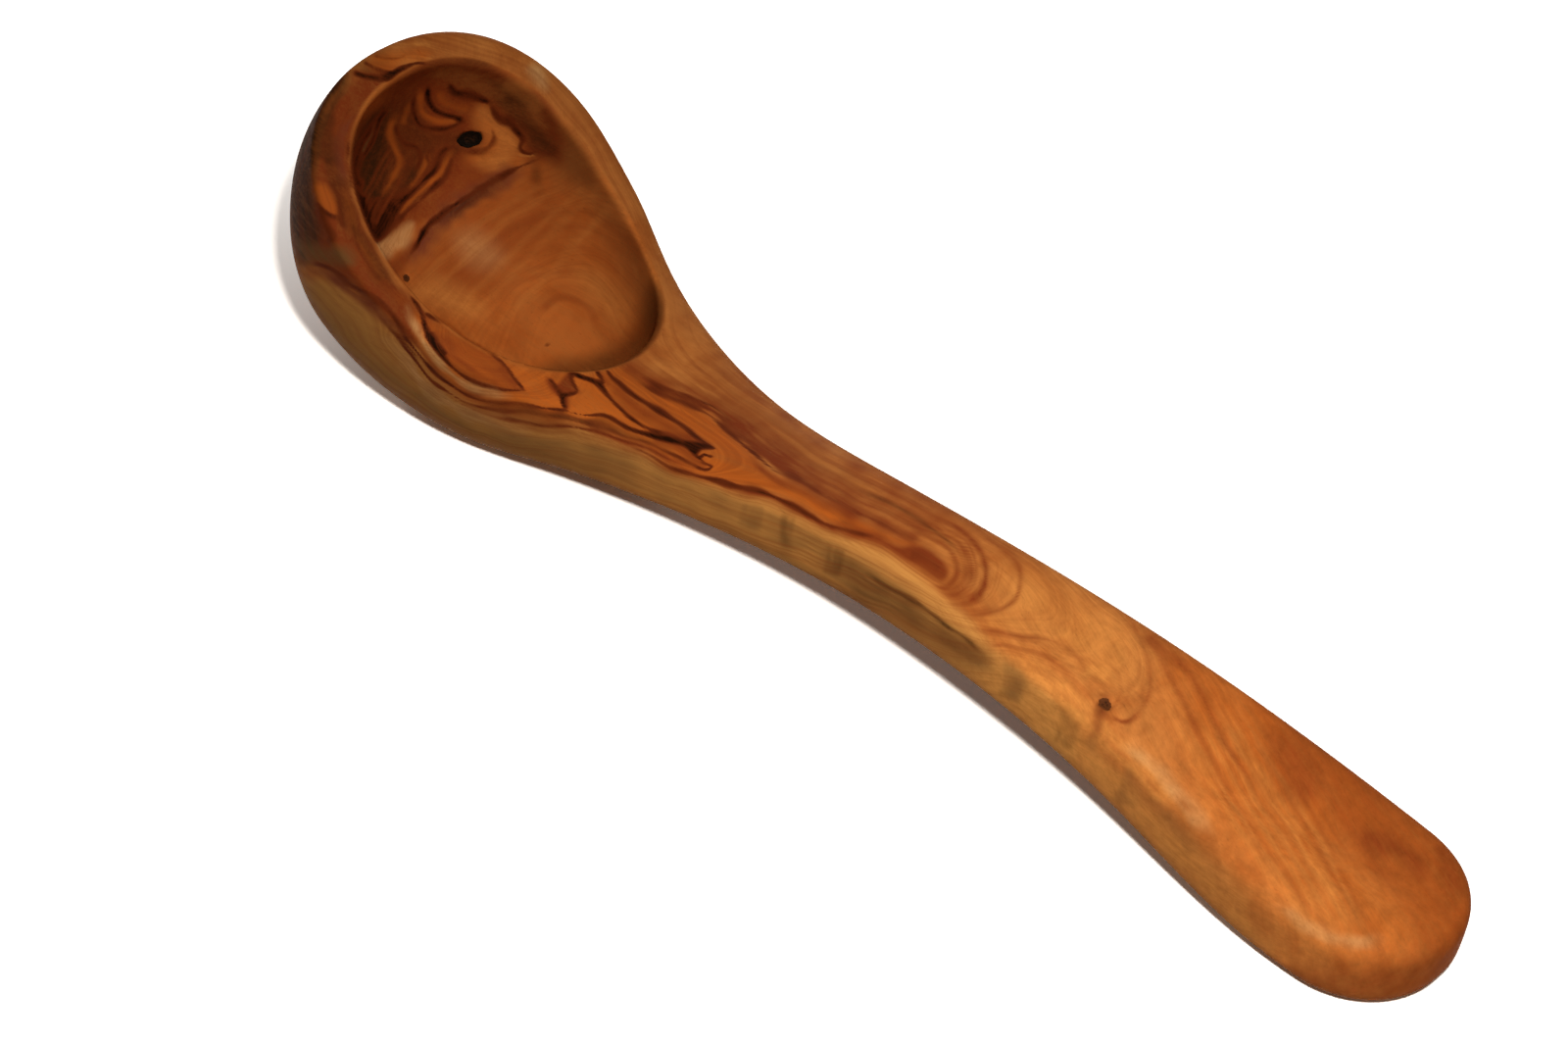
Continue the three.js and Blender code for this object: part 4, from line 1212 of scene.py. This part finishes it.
    def store(self, mesh: bpy.types.Mesh) -> None:
        """Keeps the figure in the mesh's attributes, each tone as its share of what it is laid over."""
        rest = np.ones(len(self.points))
        rows = {tone.value[0]: np.zeros((len(self.points), 3)) for tone in Tone}
        for tone in reversed(Tone):
            name, component = tone.value
            rows[name][:, component] = np.clip(self.strength[tone] / np.maximum(rest, 1e-6), 0, 1)
            rest -= self.strength[tone]
        rows["grain"] = self.grain()
        mottled = smooth_step(self.run, *self.MOTTLED)
        lined = (1 - self.CALM * mottled) * (1 - self.CALM * self.inside)
        rows["growth"] = np.stack([self.growth(), lined, mottled], -1)
        for name, values in rows.items():
            keep_vectors(mesh, name, values)


def keep_vectors(mesh: bpy.types.Mesh, name: str, rows: np.ndarray) -> None:
    """Keeps a vector for each point of a mesh under a name."""
    attribute = mesh.attributes.new(name, "FLOAT_VECTOR", "POINT")
    attribute.data.foreach_set("vector", rows.astype(np.float32).ravel())


def smooth_path(points: Sequence[Pixel], step: float) -> np.ndarray:
    """Gives a smooth line through points, as short straight steps.

    Args:
        points: Points that the line goes through. It is closed if the last is the first.
        step: Length of the straight steps.

    Returns:
        The line's points, as rows.
    """
    given = np.array(points, float)
    closed = bool(np.allclose(given[0], given[-1]))
    before = given[-2] if closed else 2 * given[0] - given[1]
    after = given[1] if closed else 2 * given[-1] - given[-2]
    held = np.concatenate([before[None], given, after[None]])
    rows = []
    for i in range(1, len(held) - 2):
        a, b, c, d = held[i - 1:i + 3]
        count = max(2, int(np.linalg.norm(c - b) / step))
        t = np.linspace(0, 1, count, endpoint=False)[:, None]
        bend = (2 * a - 5 * b + 4 * c - d) * t ** 2 + (3 * b - a - 3 * c + d) * t ** 3
        rows.append(b + 0.5 * ((c - a) * t + bend))
    return np.concatenate(rows + [held[-2:-1]])


def near_box(spots: np.ndarray, path: np.ndarray, margin: float) -> np.ndarray:
    """Tells which spots lie in a line's box, widened by a margin."""
    low, high = path.min(0) - margin, path.max(0) + margin
    return ((spots > low) & (spots < high)).all(1)


def path_distance(spots: np.ndarray, path: np.ndarray) -> tuple[np.ndarray, np.ndarray, np.ndarray]:
    """Finds the nearest place of a line for each spot.

    Args:
        spots: Spots, as rows.
        path: The line's points, as rows.

    Returns:
        The distance, the share of the line's length at that place, and the side: above 0 to its right.
    """
    best = np.full(len(spots), np.inf)
    share = np.zeros(len(spots))
    side = np.zeros(len(spots))
    steps = np.linalg.norm(np.diff(path, axis=0), axis=1)
    before = np.concatenate([[0], np.cumsum(steps)])
    for start, end, length, done in zip(path[:-1], path[1:], steps, before):
        if length == 0:
            continue
        way = (end - start) / length
        away = spots - start
        along = np.clip(away @ way, 0, length)
        gap = np.linalg.norm(away - along[:, None] * way, axis=1)
        closer = gap < best
        best[closer] = gap[closer]
        share[closer] = (done + along[closer]) / before[-1]
        side[closer] = way[0] * away[closer, 1] - way[1] * away[closer, 0]
    return best, share, side


def inside_path(spots: np.ndarray, path: np.ndarray) -> np.ndarray:
    """Tells which spots lie inside a closed line."""
    inside = np.zeros(len(spots), bool)
    for start, end in zip(path[:-1], path[1:]):
        if start[1] == end[1]:
            continue
        spans = (start[1] > spots[:, 1]) != (end[1] > spots[:, 1])
        cross = start[0] + (spots[:, 1] - start[1]) * (end[0] - start[0]) / (end[1] - start[1])
        inside ^= spans & (spots[:, 0] < cross)
    return inside


Socket = bpy.types.NodeSocket
Feed = Socket | float | Sequence[float]


class NodeSheet:
    """Lays out nodes of a shader or a group, and joins them."""

    def __init__(self, tree: bpy.types.NodeTree) -> None:
        """Starts with an empty sheet."""
        self.tree = tree
        tree.nodes.clear()

    def add(self, kind: str, **settings: object) -> bpy.types.Node:
        """Adds a node and sets its options."""
        node = self.tree.nodes.new(kind)
        for name, value in settings.items():
            setattr(node, name, value)
        return node

    def feed(self, target: Socket, value: Feed) -> None:
        """Joins a socket to another, or sets its value."""
        if isinstance(value, bpy.types.NodeSocket):
            self.tree.links.new(value, target)
        elif isinstance(value, (int, float)):
            target.default_value = value
        else:
            size = len(target.default_value)
            target.default_value = (*value, 1)[:size]

    def math(self, operation: str, first: Feed, second: Feed = 0.0) -> Socket:
        """Adds a sum on numbers."""
        node = self.add("ShaderNodeMath", operation=operation)
        self.feed(node.inputs[0], first)
        self.feed(node.inputs[1], second)
        return node.outputs[0]

    def scaled(self, vector: Feed, factors: Sequence[float]) -> Socket:
        """Multiplies a vector by factors, axis by axis."""
        node = self.add("ShaderNodeVectorMath", operation="MULTIPLY")
        self.feed(node.inputs[0], vector)
        self.feed(node.inputs[1], factors)
        return node.outputs[0]

    def step(self, value: Feed, low: float, high: float, start: float = 0.0, end: float = 1.0) -> Socket:
        """Rises smoothly from start to end as a value goes from low to high."""
        node = self.add("ShaderNodeMapRange", interpolation_type="SMOOTHSTEP")
        for socket, given in zip(node.inputs[:5], (value, low, high, start, end)):
            self.feed(socket, given)
        return node.outputs[0]

    def mix(self, share: Feed, first: Feed, second: Feed, blend: str = "MIX") -> Socket:
        """Mixes two colours."""
        node = self.add("ShaderNodeMix", data_type="RGBA", blend_type=blend, clamp_factor=True)
        self.feed(node.inputs["Factor"], share)
        self.feed(node.inputs[6], first)
        self.feed(node.inputs[7], second)
        return node.outputs[2]

    def noise(self, vector: Feed, scale: float, detail: float = 3.0, rough: float = 0.55) -> Socket:
        """Adds noise over a vector, between 0 and 1."""
        node = self.add("ShaderNodeTexNoise")
        self.feed(node.inputs["Vector"], vector)
        self.feed(node.inputs["Scale"], scale)
        self.feed(node.inputs["Detail"], detail)
        self.feed(node.inputs["Roughness"], rough)
        return node.outputs["Fac"]

    def attribute(self, name: str) -> Socket:
        """Reads a vector that the mesh keeps."""
        node = self.add("ShaderNodeAttribute", attribute_name=name)
        return node.outputs["Vector"]

    def sum(self, first: Feed, second: Feed) -> Socket:
        """Adds two vectors."""
        node = self.add("ShaderNodeVectorMath", operation="ADD")
        self.feed(node.inputs[0], first)
        self.feed(node.inputs[1], second)
        return node.outputs[0]

    def parts(self, vector: Feed) -> tuple[Socket, Socket, Socket]:
        """Splits a vector into its three numbers."""
        node = self.add("ShaderNodeSeparateXYZ")
        self.feed(node.inputs[0], vector)
        return node.outputs[0], node.outputs[1], node.outputs[2]

    def wood(self, colour: Feed, rough: Feed, gloss: float,
             relief: Feed, bump: float, depth: float) -> Socket:
        """Adds the surface of finished wood.

        Args:
            colour: Its colour.
            rough: Its roughness.
            gloss: Strength of its gloss.
            relief: Height of its relief, from 0 to about 1.
            bump: Strength of the relief.
            depth: Depth of the relief in mm.

        Returns:
            The surface.
        """
        node = self.add("ShaderNodeBump")
        self.feed(node.inputs["Height"], relief)
        self.feed(node.inputs["Strength"], bump)
        self.feed(node.inputs["Distance"], depth * MM)
        shader = self.add("ShaderNodeBsdfPrincipled")
        self.feed(shader.inputs["Base Color"], colour)
        self.feed(shader.inputs["Roughness"], rough)
        self.feed(shader.inputs["Specular IOR Level"], gloss)
        self.feed(shader.inputs["Normal"], node.outputs[0])
        return shader.outputs[0]

    def end(self, surface: Socket, kind: str = "ShaderNodeOutputMaterial") -> None:
        """Adds the output of a material or of a world."""
        self.feed(self.add(kind).inputs["Surface"], surface)


def new_material(name: str) -> tuple[bpy.types.Material, NodeSheet]:
    """Makes a material with an empty sheet."""
    material = bpy.data.materials.new(name)
    material.use_nodes = True
    return material, NodeSheet(material.node_tree)


def wood_fibre_group() -> bpy.types.NodeTree:
    """Makes the group that gives wood its fibre: growth lines, fine streaks along the grain and short pores.

    Returns:
        A group with the grain and growth coordinates in mm as inputs, and Growth, Fibre and Pores, each from
        0 to 1, as outputs.
    """
    group = bpy.data.node_groups.new("wood_fibre", "ShaderNodeTree")
    for name in ("Grain", "Rings"):
        group.interface.new_socket(name, in_out="INPUT", socket_type="NodeSocketVector")
    for name in ("Growth", "Fibre", "Pores"):
        group.interface.new_socket(name, in_out="OUTPUT", socket_type="NodeSocketFloat")
    sheet = NodeSheet(group)
    given = sheet.add("NodeGroupInput")
    grain, rings = given.outputs["Grain"], given.outputs["Rings"]
    drift = sheet.scaled(grain, (0.012, 0.02, 0.02))
    wide = sheet.noise(sheet.sum(sheet.scaled(rings, (0.55, 0, 0)), drift), 1.0, 4.0, 0.6)
    slow = sheet.scaled(grain, (0.03, 0.05, 0.05))
    narrow = sheet.noise(sheet.sum(sheet.scaled(rings, (2.4, 0, 0)), slow), 1.0, 2.0, 0.5)
    growth = sheet.math("ADD", sheet.math("MULTIPLY", wide, 0.55), sheet.math("MULTIPLY", narrow, 0.45))
    coarse = sheet.noise(sheet.scaled(grain, (0.03, 0.55, 0.55)), 1.0, 5.0, 0.62)
    fine = sheet.noise(sheet.scaled(grain, (0.14, 2.6, 2.6)), 1.0, 2.0, 0.5)
    streaks = sheet.math("ADD", sheet.math("MULTIPLY", coarse, 0.6), sheet.math("MULTIPLY", fine, 0.4))
    dashes = sheet.noise(sheet.scaled(grain, (0.35, 4.2, 4.2)), 1.0, 1.0, 0.5)
    ends = sheet.add("NodeGroupOutput")
    sheet.feed(ends.inputs["Growth"], sheet.step(growth, 0.4, 0.62))
    sheet.feed(ends.inputs["Fibre"], sheet.step(streaks, 0.3, 0.7))
    sheet.feed(ends.inputs["Pores"], sheet.step(dashes, 0.64, 0.76))
    return group


@dataclass(frozen=True)
class OliveWood:
    """Oiled olive wood: the colours of its figure, its gloss and its fibre."""

    fibre_group: bpy.types.NodeTree
    plain: Colour = srgb(194, 118, 55)
    plain_deep: Colour = srgb(170, 94, 40)
    sand: Colour = srgb(192, 128, 62)
    stain: Colour = srgb(112, 76, 40)
    amber: Colour = srgb(186, 92, 30)
    honey: Colour = srgb(214, 138, 64)
    pale: Colour = srgb(200, 144, 86)
    plum: Colour = srgb(116, 56, 36)
    russet: Colour = srgb(124, 52, 21)
    umber: Colour = srgb(60, 33, 15)
    dark_edge: Colour = srgb(98, 40, 16)
    dark: Colour = srgb(32, 13, 5)
    roughness: float = 0.5
    gloss: float = 0.008
    growth_share: float = 0.36
    blot_scale: tuple[float, float, float] = (0.38, 0.42, 0.42)
    blot_share: float = 0.75
    brightness: float = 1.04
    fibre_share: float = 0.2
    pore_share: float = 0.14
    fray_share: float = 0.42
    matt_share: float = 0.1
    relief: float = 0.4
    bump: float = 0.25
    bump_depth: float = 0.05

    def material(self) -> bpy.types.Material:
        """Makes the material."""
        material, sheet = new_material("oiled_olive_wood")
        grain = sheet.attribute("grain")
        fibre = sheet.add("ShaderNodeGroup", node_tree=self.fibre_group)
        sheet.feed(fibre.inputs["Grain"], grain)
        growth = sheet.attribute("growth")
        sheet.feed(fibre.inputs["Rings"], growth)
        _, lined, mottled = sheet.parts(growth)
        streak, pores = fibre.outputs["Fibre"], fibre.outputs["Pores"]
        jitter = sheet.math("SUBTRACT", streak, 0.5)
        colour = self.colour(sheet, grain, jitter)
        lines = sheet.math("MULTIPLY", lined, self.growth_share)
        lines = sheet.math("MULTIPLY", fibre.outputs["Growth"], lines)
        colour = sheet.mix(lines, colour, self.russet)
        blots = sheet.noise(sheet.scaled(grain, self.blot_scale), 1.0, 5.0, 0.66)
        blots = sheet.math("SUBTRACT", blots, 0.5)
        blots = sheet.math("MULTIPLY", blots, sheet.math("MULTIPLY", mottled, self.blot_share))
        shade = sheet.math("ADD", self.brightness, sheet.math("MULTIPLY", jitter, self.fibre_share))
        dots = sheet.math("MULTIPLY", pores, self.pore_share)
        shade = sheet.math("SUBTRACT", sheet.math("ADD", shade, blots), dots)
        tint = sheet.add("ShaderNodeCombineColor")
        for socket in tint.inputs[:3]:
            sheet.feed(socket, shade)
        colour = sheet.mix(1.0, colour, tint.outputs[0], "MULTIPLY")
        rough = sheet.math("ADD", sheet.math("MULTIPLY", streak, self.matt_share), self.roughness)
        relief = sheet.math("SUBTRACT", sheet.math("MULTIPLY", streak, self.relief), pores)
        sheet.end(sheet.wood(colour, rough, self.gloss, relief, self.bump, self.bump_depth))
        return material

    def colour(self, sheet: NodeSheet, grain: Socket, jitter: Socket) -> Socket:
        """Lays the figure's tones over the plain wood.

        Args:
            sheet: Sheet of the material.
            grain: Grain coordinates in mm.
            jitter: Fibre streaks, from -0.5 to 0.5, that fray the edges of the figure.

        Returns:
            The wood's colour.
        """
        cloud = sheet.noise(sheet.scaled(grain, (0.02, 0.12, 0.12)), 1.0, 4.0)
        curl = sheet.noise(sheet.scaled(grain, (0.22, 0.12, 0.12)), 1.0, 3.0)
        both = sheet.math("ADD", sheet.math("MULTIPLY", cloud, 0.6), sheet.math("MULTIPLY", curl, 0.4))
        colour = sheet.mix(sheet.step(both, 0.38, 0.64), self.plain, self.plain_deep)
        glazes = (
            ("figure_soft", (self.sand, self.stain, self.amber)),
            ("figure_glow", (self.honey, self.pale, self.plum)),
            ("figure_deep", (self.russet, self.umber)),
        )
        fray = sheet.math("ADD", 1.0, sheet.math("MULTIPLY", jitter, self.fray_share))
        for name, tones in glazes:
            for strength, tone in zip(sheet.parts(sheet.attribute(name)), tones):
                colour = sheet.mix(sheet.math("MULTIPLY", strength, fray), colour, tone)
        dark = sheet.parts(sheet.attribute("figure_deep"))[2]
        line = sheet.math("MULTIPLY", dark, fray)
        colour = sheet.mix(sheet.step(line, 0.08, 0.6), colour, self.dark_edge)
        return sheet.mix(sheet.step(line, 0.5, 1.0), colour, self.dark)


@dataclass(frozen=True)
class DeadKnot:
    """Dead knot wood: almost black, with another tone in its middle, dull."""

    fibre_group: bpy.types.NodeTree
    name: str = "dead_knot_wood"
    bark: Colour = srgb(20, 13, 7)
    core: Colour = srgb(52, 28, 14)
    roughness: float = 0.46
    dull_share: float = 0.25
    gloss: float = 0.03
    bump: float = 0.6
    bump_depth: float = 0.15

    def material(self) -> bpy.types.Material:
        """Makes the material."""
        material, sheet = new_material(self.name)
        spread = sheet.attribute("knot")
        _, out, _ = sheet.parts(spread)
        fibre = sheet.add("ShaderNodeGroup", node_tree=self.fibre_group)
        sheet.feed(fibre.inputs["Grain"], sheet.attribute("grain"))
        sheet.feed(fibre.inputs["Rings"], spread)
        mottle = sheet.noise(sheet.attribute("grain"), 1.6, 4.0)
        heart = sheet.math("MULTIPLY", sheet.step(out, 0.75, 0.15), sheet.step(mottle, 0.42, 0.62))
        colour = sheet.mix(heart, self.bark, self.core)
        rough = sheet.math("ADD", sheet.math("MULTIPLY", mottle, self.dull_share), self.roughness)
        relief = sheet.math("ADD", mottle, fibre.outputs["Fibre"])
        sheet.end(sheet.wood(colour, rough, self.gloss, relief, self.bump, self.bump_depth))
        return material


@dataclass
class LadleBody:
    """The carved body: bowl, neck and handle in one piece of wood. Lengths in mm."""

    shape: LadleShape
    view: PhotoView
    rings: int = 330
    sides: int = 220
    hollow_rings: int = 90
    hollow_sides: int = 300
    pitch: float = 0.45
    smooth_rounds: int = 6

    def build(self) -> bpy.types.Object:
        """Carves the body and gives it an even mesh.

        Returns:
            The body, in the place of its CAD node.
        """
        shape = self.shape
        tip, end = shape.end_points()
        blank = closed_skin("blank", shape.outer_rings(self.rings, self.sides) * MM, tip * MM, end * MM)
        floor = shape.place(shape.hollow_middle, 0, shape.hollow_height(np.array(0.0)))
        above = shape.place(shape.hollow_middle, 0, shape.cut_above)
        hollow = closed_skin("hollow", shape.hollow_rings(self.hollow_rings, self.hollow_sides) * MM,
                             floor * MM, above * MM)
        carving = new_object("carving", blank)
        cutter = new_object("cutter", hollow)
        cut = carving.modifiers.new("cut", "BOOLEAN")
        cut.object = cutter
        cut.operation = "DIFFERENCE"
        cut.solver = "EXACT"
        even = carving.modifiers.new("even", "REMESH")
        even.mode = "VOXEL"
        even.voxel_size = self.pitch * MM
        rub = carving.modifiers.new("rub", "SMOOTH")
        rub.factor = 0.5
        rub.iterations = self.smooth_rounds
        ready = carving.evaluated_get(bpy.context.evaluated_depsgraph_get())
        mesh = bpy.data.meshes.new_from_object(ready)
        bpy.data.objects.remove(carving)
        bpy.data.objects.remove(cutter)
        mesh.name = "carved_body"
        self._fit(mesh)
        mesh.shade_smooth()
        return new_object("carved_body", mesh)

    def _fit(self, mesh: bpy.types.Mesh) -> None:
        """Brings the mesh to its CAD node's box, with the flat that it stands on."""
        points = mesh_points(mesh)
        points[:, 2] = np.maximum(points[:, 2], 0)
        low, high = (np.array(corner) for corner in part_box(BODY_NODE))
        start, stop = points.min(0), points.max(0)
        move_points(mesh, low + (points - start) * (high - low) / (stop - start))

    def dress(self, piece: bpy.types.Object, finish: OliveWood) -> None:
        """Works the figure of the wood into the body, and gives it its finish."""
        mesh = piece.data
        figure = Figure(self.shape, self.view, mesh_points(mesh) / MM, mesh_points(mesh, "normal"))
        figure.hidden_sides(HiddenFigure())
        for mark in SIDE_MARKS + HANDLE_MARKS + RIM_MARKS + NECK_MARKS:
            figure.draw(mark, Zone.OUTSIDE)
        for mark in BOWL_MARKS:
            figure.draw(mark, Zone.HOLLOW)
        figure.store(mesh)
        mesh.materials.append(finish.material())
        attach(piece, ROOT)
        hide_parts(BODY_NODE)


@dataclass
class Knot:
    """A dead knot: a tapered plug with an uneven rim and a sunken top. Lengths in mm."""

    node: str
    seed: int
    point: np.ndarray
    axis: np.ndarray
    long: float
    short: float
    sides: int = 64
    rings: int = 12
    ragged: float = 0.09
    sunk: float = 0.05
    dish: float = 0.2
    depth: float = 0.9
    taper: float = 0.8
    foot_share: float = 1.3
    pocket_room: float = 0.15
    pocket_edge: tuple[float, float] = (0.86, 1.12)
    probe: float = 4

    def __post_init__(self) -> None:
        """Sets the plug's own axes, as its CAD node has them, and draws its uneven outline."""
        turn = Vector((0, 1, 0)).rotation_difference(Vector(self.axis)).to_matrix()
        self.wide = np.array(turn @ Vector((1, 0, 0)))
        self.tall = np.array(turn @ Vector((0, 0, 1)))
        draws = np.random.default_rng(self.seed)
        self.waves = [(wave, draws.uniform(0, 2 * math.pi)) for wave in (2, 3, 5, 8)]

    def edge(self, angle: np.ndarray) -> np.ndarray:
        """Gives the share of the oval that the plug fills at angles round it."""
        out = np.full(np.shape(angle), 1 - self.ragged)
        for wave, start in self.waves:
            out = out + self.ragged / len(self.waves) * np.sin(wave * angle + start)
        return out

    def build(self, body: bpy.types.Object) -> bpy.types.Object:
        """Makes the plug with its top laid on the body's surface, and sinks a pocket for it.

        Args:
            body: The carved body, which carries the knot.

        Returns:
            The knot.
        """
        tree = BVHTree.FromObject(body, bpy.context.evaluated_depsgraph_get())
        angle = np.linspace(0, 2 * math.pi, self.sides, endpoint=False)
        edge = self.edge(angle)
        aside = np.outer(self.long * edge * np.cos(angle), self.wide)
        aside = aside + np.outer(self.short * edge * np.sin(angle), self.tall)
        shares = np.linspace(0, 1, self.rings + 1)
        rings = [self._surface(tree, aside * share, share) for share in shares[1:]]
        foot = rings[-1] - self.axis * self.depth - aside * (1 - self.taper)
        rings.append(foot)
        top = self._surface(tree, np.zeros((1, 3)), 0.0)[0]
        mesh = closed_skin(self.node + "_plug", np.stack(rings) * MM, top * MM, foot.mean(0) * MM)
        mesh.flip_normals()
        out = np.concatenate([[0], np.repeat([*shares[1:], self.foot_share], self.sides), [self.foot_share]])
        rows = np.stack([out * 0 + self.seed, out, out * 0], -1)
        keep_vectors(mesh, "knot", rows)
        keep_vectors(mesh, "grain", mesh_points(mesh) / MM)
        mesh.shade_smooth()
        self._sink(body)
        return new_object(self.node + "_plug", mesh)

    def _surface(self, tree: BVHTree, aside: np.ndarray, share: float) -> np.ndarray:
        """Gives points of the plug's top: on the body's surface, and sunk a little more in the middle."""
        points = []
        for start in self.point + aside + self.axis * self.probe:
            hit = tree.ray_cast(Vector(start * MM), Vector(-self.axis), 2 * self.probe * MM)[0]
            points.append(np.array(hit) / MM)
        return np.array(points) - self.axis * (self.sunk + self.dish * (1 - share ** 2))

    def _sink(self, body: bpy.types.Object) -> None:
        """Sinks the body's surface under the plug."""
        points = mesh_points(body.data) / MM
        away = points - self.point
        across, along = away @ self.wide / self.long, away @ self.tall / self.short
        share = np.hypot(across, along) / self.edge(np.arctan2(along, across))
        near = np.abs(away @ self.axis) < self.probe
        drop = (self.depth + self.pocket_room) * (1 - smooth_step(share, *self.pocket_edge)) * near
        move_points(body.data, (points - np.outer(drop, self.axis)) * MM)

    def dress(self, piece: bpy.types.Object, material: bpy.types.Material) -> None:
        """Gives the knot its finish and its place on the body."""
        piece.data.materials.append(material)
        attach(piece, ROOT)
        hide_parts(self.node)


@dataclass
class Studio:
    """Plain white floor, a lamp beside the camera and a weak one behind the ladle. Lengths in metres."""

    view: PhotoView
    floor_half: float = 4.0
    floor_colour: float = 0.3
    floor_tint: Colour = srgb(255, 247, 238)
    floor_shown: float = 1.4
    floor_shown_far: float = 4.5
    floor_glow: float = 0.95
    glow_near: float = 0.15
    glow_far: float = 0.36
    fill: float = 0.1
    flash_power: float = 0.5
    flash_size: float = 0.035
    flash_right: float = 0.042
    flash_up: float = 0.075
    flash_spread: float = 70
    flash_aim: tuple[float, float, float] = (0.045, 0, 0.02)
    back_power: float = 1.6
    back_size: float = 0.16
    back_place: tuple[float, float, float] = (-0.6, 0.6, 0.11)

    def build(self) -> bpy.types.Object:
        """Makes the floor, the lamps and the sky light.

        Returns:
            The floor.
        """
        half = self.floor_half
        corners = [(-half, -half, 0), (half, -half, 0), (half, half, 0), (-half, half, 0)]
        mesh = bpy.data.meshes.new("studio_floor")
        mesh.from_pydata(corners, [], [(0, 1, 2, 3)])
        floor = new_object("studio_floor", mesh)
        mesh.materials.append(self._floor_material())
        self._lamps()
        self._sky()
        return floor

    def _lamps(self) -> None:
        """Hangs the main lamp above the camera, a little to its right, and a weak one behind the ladle."""
        right, up, _ = self.view.axes()
        place = self.view.position() * MM + right * self.flash_right + up * self.flash_up
        flash = self._lamp("flash", self.flash_power, self.flash_size, place)
        flash.spread = math.radians(self.flash_spread)
        self._lamp("back_lamp", self.back_power, self.back_size, np.array(self.back_place))

    def _lamp(self, name: str, power: float, size: float, place: np.ndarray) -> bpy.types.AreaLight:
        """Hangs a square lamp at a place, turned to the ladle."""
        lamp = bpy.data.lights.new(name, "AREA")
        lamp.energy = power
        lamp.size = size
        holder = bpy.data.objects.new(name, lamp)
        turn = Vector(place - np.array(self.flash_aim)).to_track_quat("Z", "Y")
        holder.matrix_world = Matrix.Translation(Vector(place)) @ turn.to_matrix().to_4x4()
        bpy.context.scene.collection.objects.link(holder)
        return lamp

    def _backdrop_rays(self, sheet: NodeSheet) -> Socket:
        """Gives 1 for rays that see the background straight, in a gloss or through glass."""
        path = sheet.add("ShaderNodeLightPath")
        seen = sheet.math("MAXIMUM", path.outputs["Is Camera Ray"], path.outputs["Is Glossy Ray"])
        return sheet.math("MAXIMUM", seen, path.outputs["Is Transmission Ray"])

    def _floor_material(self) -> bpy.types.Material:
        """Makes the floor's white, which keeps the ladle's shadow."""
        material, sheet = new_material("studio_white")
        seen = self._backdrop_rays(sheet)
        away = sheet.add("ShaderNodeVectorMath", operation="DISTANCE")
        sheet.feed(away.inputs[0], sheet.add("ShaderNodeNewGeometry").outputs["Position"])
        sheet.feed(away.inputs[1], self.flash_aim)
        apart = away.outputs["Value"]
        pale = sheet.step(apart, 0.0, self.glow_far, self.floor_shown, self.floor_shown_far)
        shown = sheet.add("ShaderNodeMapRange")
        sheet.feed(shown.inputs["Value"], seen)
        sheet.feed(shown.inputs["To Min"], self.floor_colour)
        sheet.feed(shown.inputs["To Max"], pale)
        paint = sheet.add("ShaderNodeBsdfDiffuse")
        sheet.feed(paint.inputs["Color"], sheet.mix(1.0, shown.outputs[0], self.floor_tint, "MULTIPLY"))
        dim = sheet.step(apart, self.glow_near, self.glow_far, 0.0, self.floor_glow)
        glow = sheet.add("ShaderNodeEmission")
        sheet.feed(glow.inputs["Strength"], sheet.math("MULTIPLY", seen, dim))
        both = sheet.add("ShaderNodeAddShader")
        sheet.feed(both.inputs[0], paint.outputs[0])
        sheet.feed(both.inputs[1], glow.outputs[0])
        sheet.end(both.outputs[0])
        return material

    def _sky(self) -> None:
        """Sets the even light from all round, and white where the background is seen."""
        world = bpy.data.worlds.new("studio_sky")
        world.use_nodes = True
        bpy.context.scene.world = world
        sheet = NodeSheet(world.node_tree)
        seen = self._backdrop_rays(sheet)
        strength = sheet.add("ShaderNodeMapRange")
        sheet.feed(strength.inputs["Value"], seen)
        sheet.feed(strength.inputs["To Min"], self.fill)
        sheet.feed(strength.inputs["To Max"], 1.0)
        light = sheet.add("ShaderNodeBackground")
        sheet.feed(light.inputs["Strength"], strength.outputs[0])
        sheet.end(light.outputs[0], "ShaderNodeOutputWorld")


def main() -> None:
    """Builds the ladle and its studio, and notes the sizes."""
    bpy.context.scene.view_settings.view_transform = "Standard"
    view = PhotoView()
    view.make_camera()
    shape = LadleShape()
    fibre = wood_fibre_group()
    body = LadleBody(shape, view)
    carved = body.build()
    LOG.info("%s: %d faces", carved.name, len(carved.data.polygons))
    black = DeadKnot(fibre).material()
    brown = DeadKnot(fibre, "brown_knot_wood", srgb(88, 46, 21), srgb(26, 14, 7)).material()
    knots = (
        (Knot("bowl_knot", 1, *shape.hollow_spot(130, 0.83), 2.9, 1.9), black),
        (Knot("bowl_pin_knot", 2, *shape.hollow_spot(259, 0.27), 0.9, 0.8, depth=0.6, dish=0.1), brown),
        (Knot("handle_knot", 3, *shape.handle_spot(207.5, -8.6), 1.5, 1.2, ragged=0.2), brown),
    )
    for knot, material in knots:
        plug = knot.build(carved)
        knot.dress(plug, material)
        LOG.info("%s: %d faces", plug.name, len(plug.data.polygons))
    body.dress(carved, OliveWood(fibre))
    floor = Studio(view).build()
    LOG.info("%s: stage", floor.name)


if __name__ == "__main__":
    logging.basicConfig(level=logging.INFO, format="%(message)s")
    main()
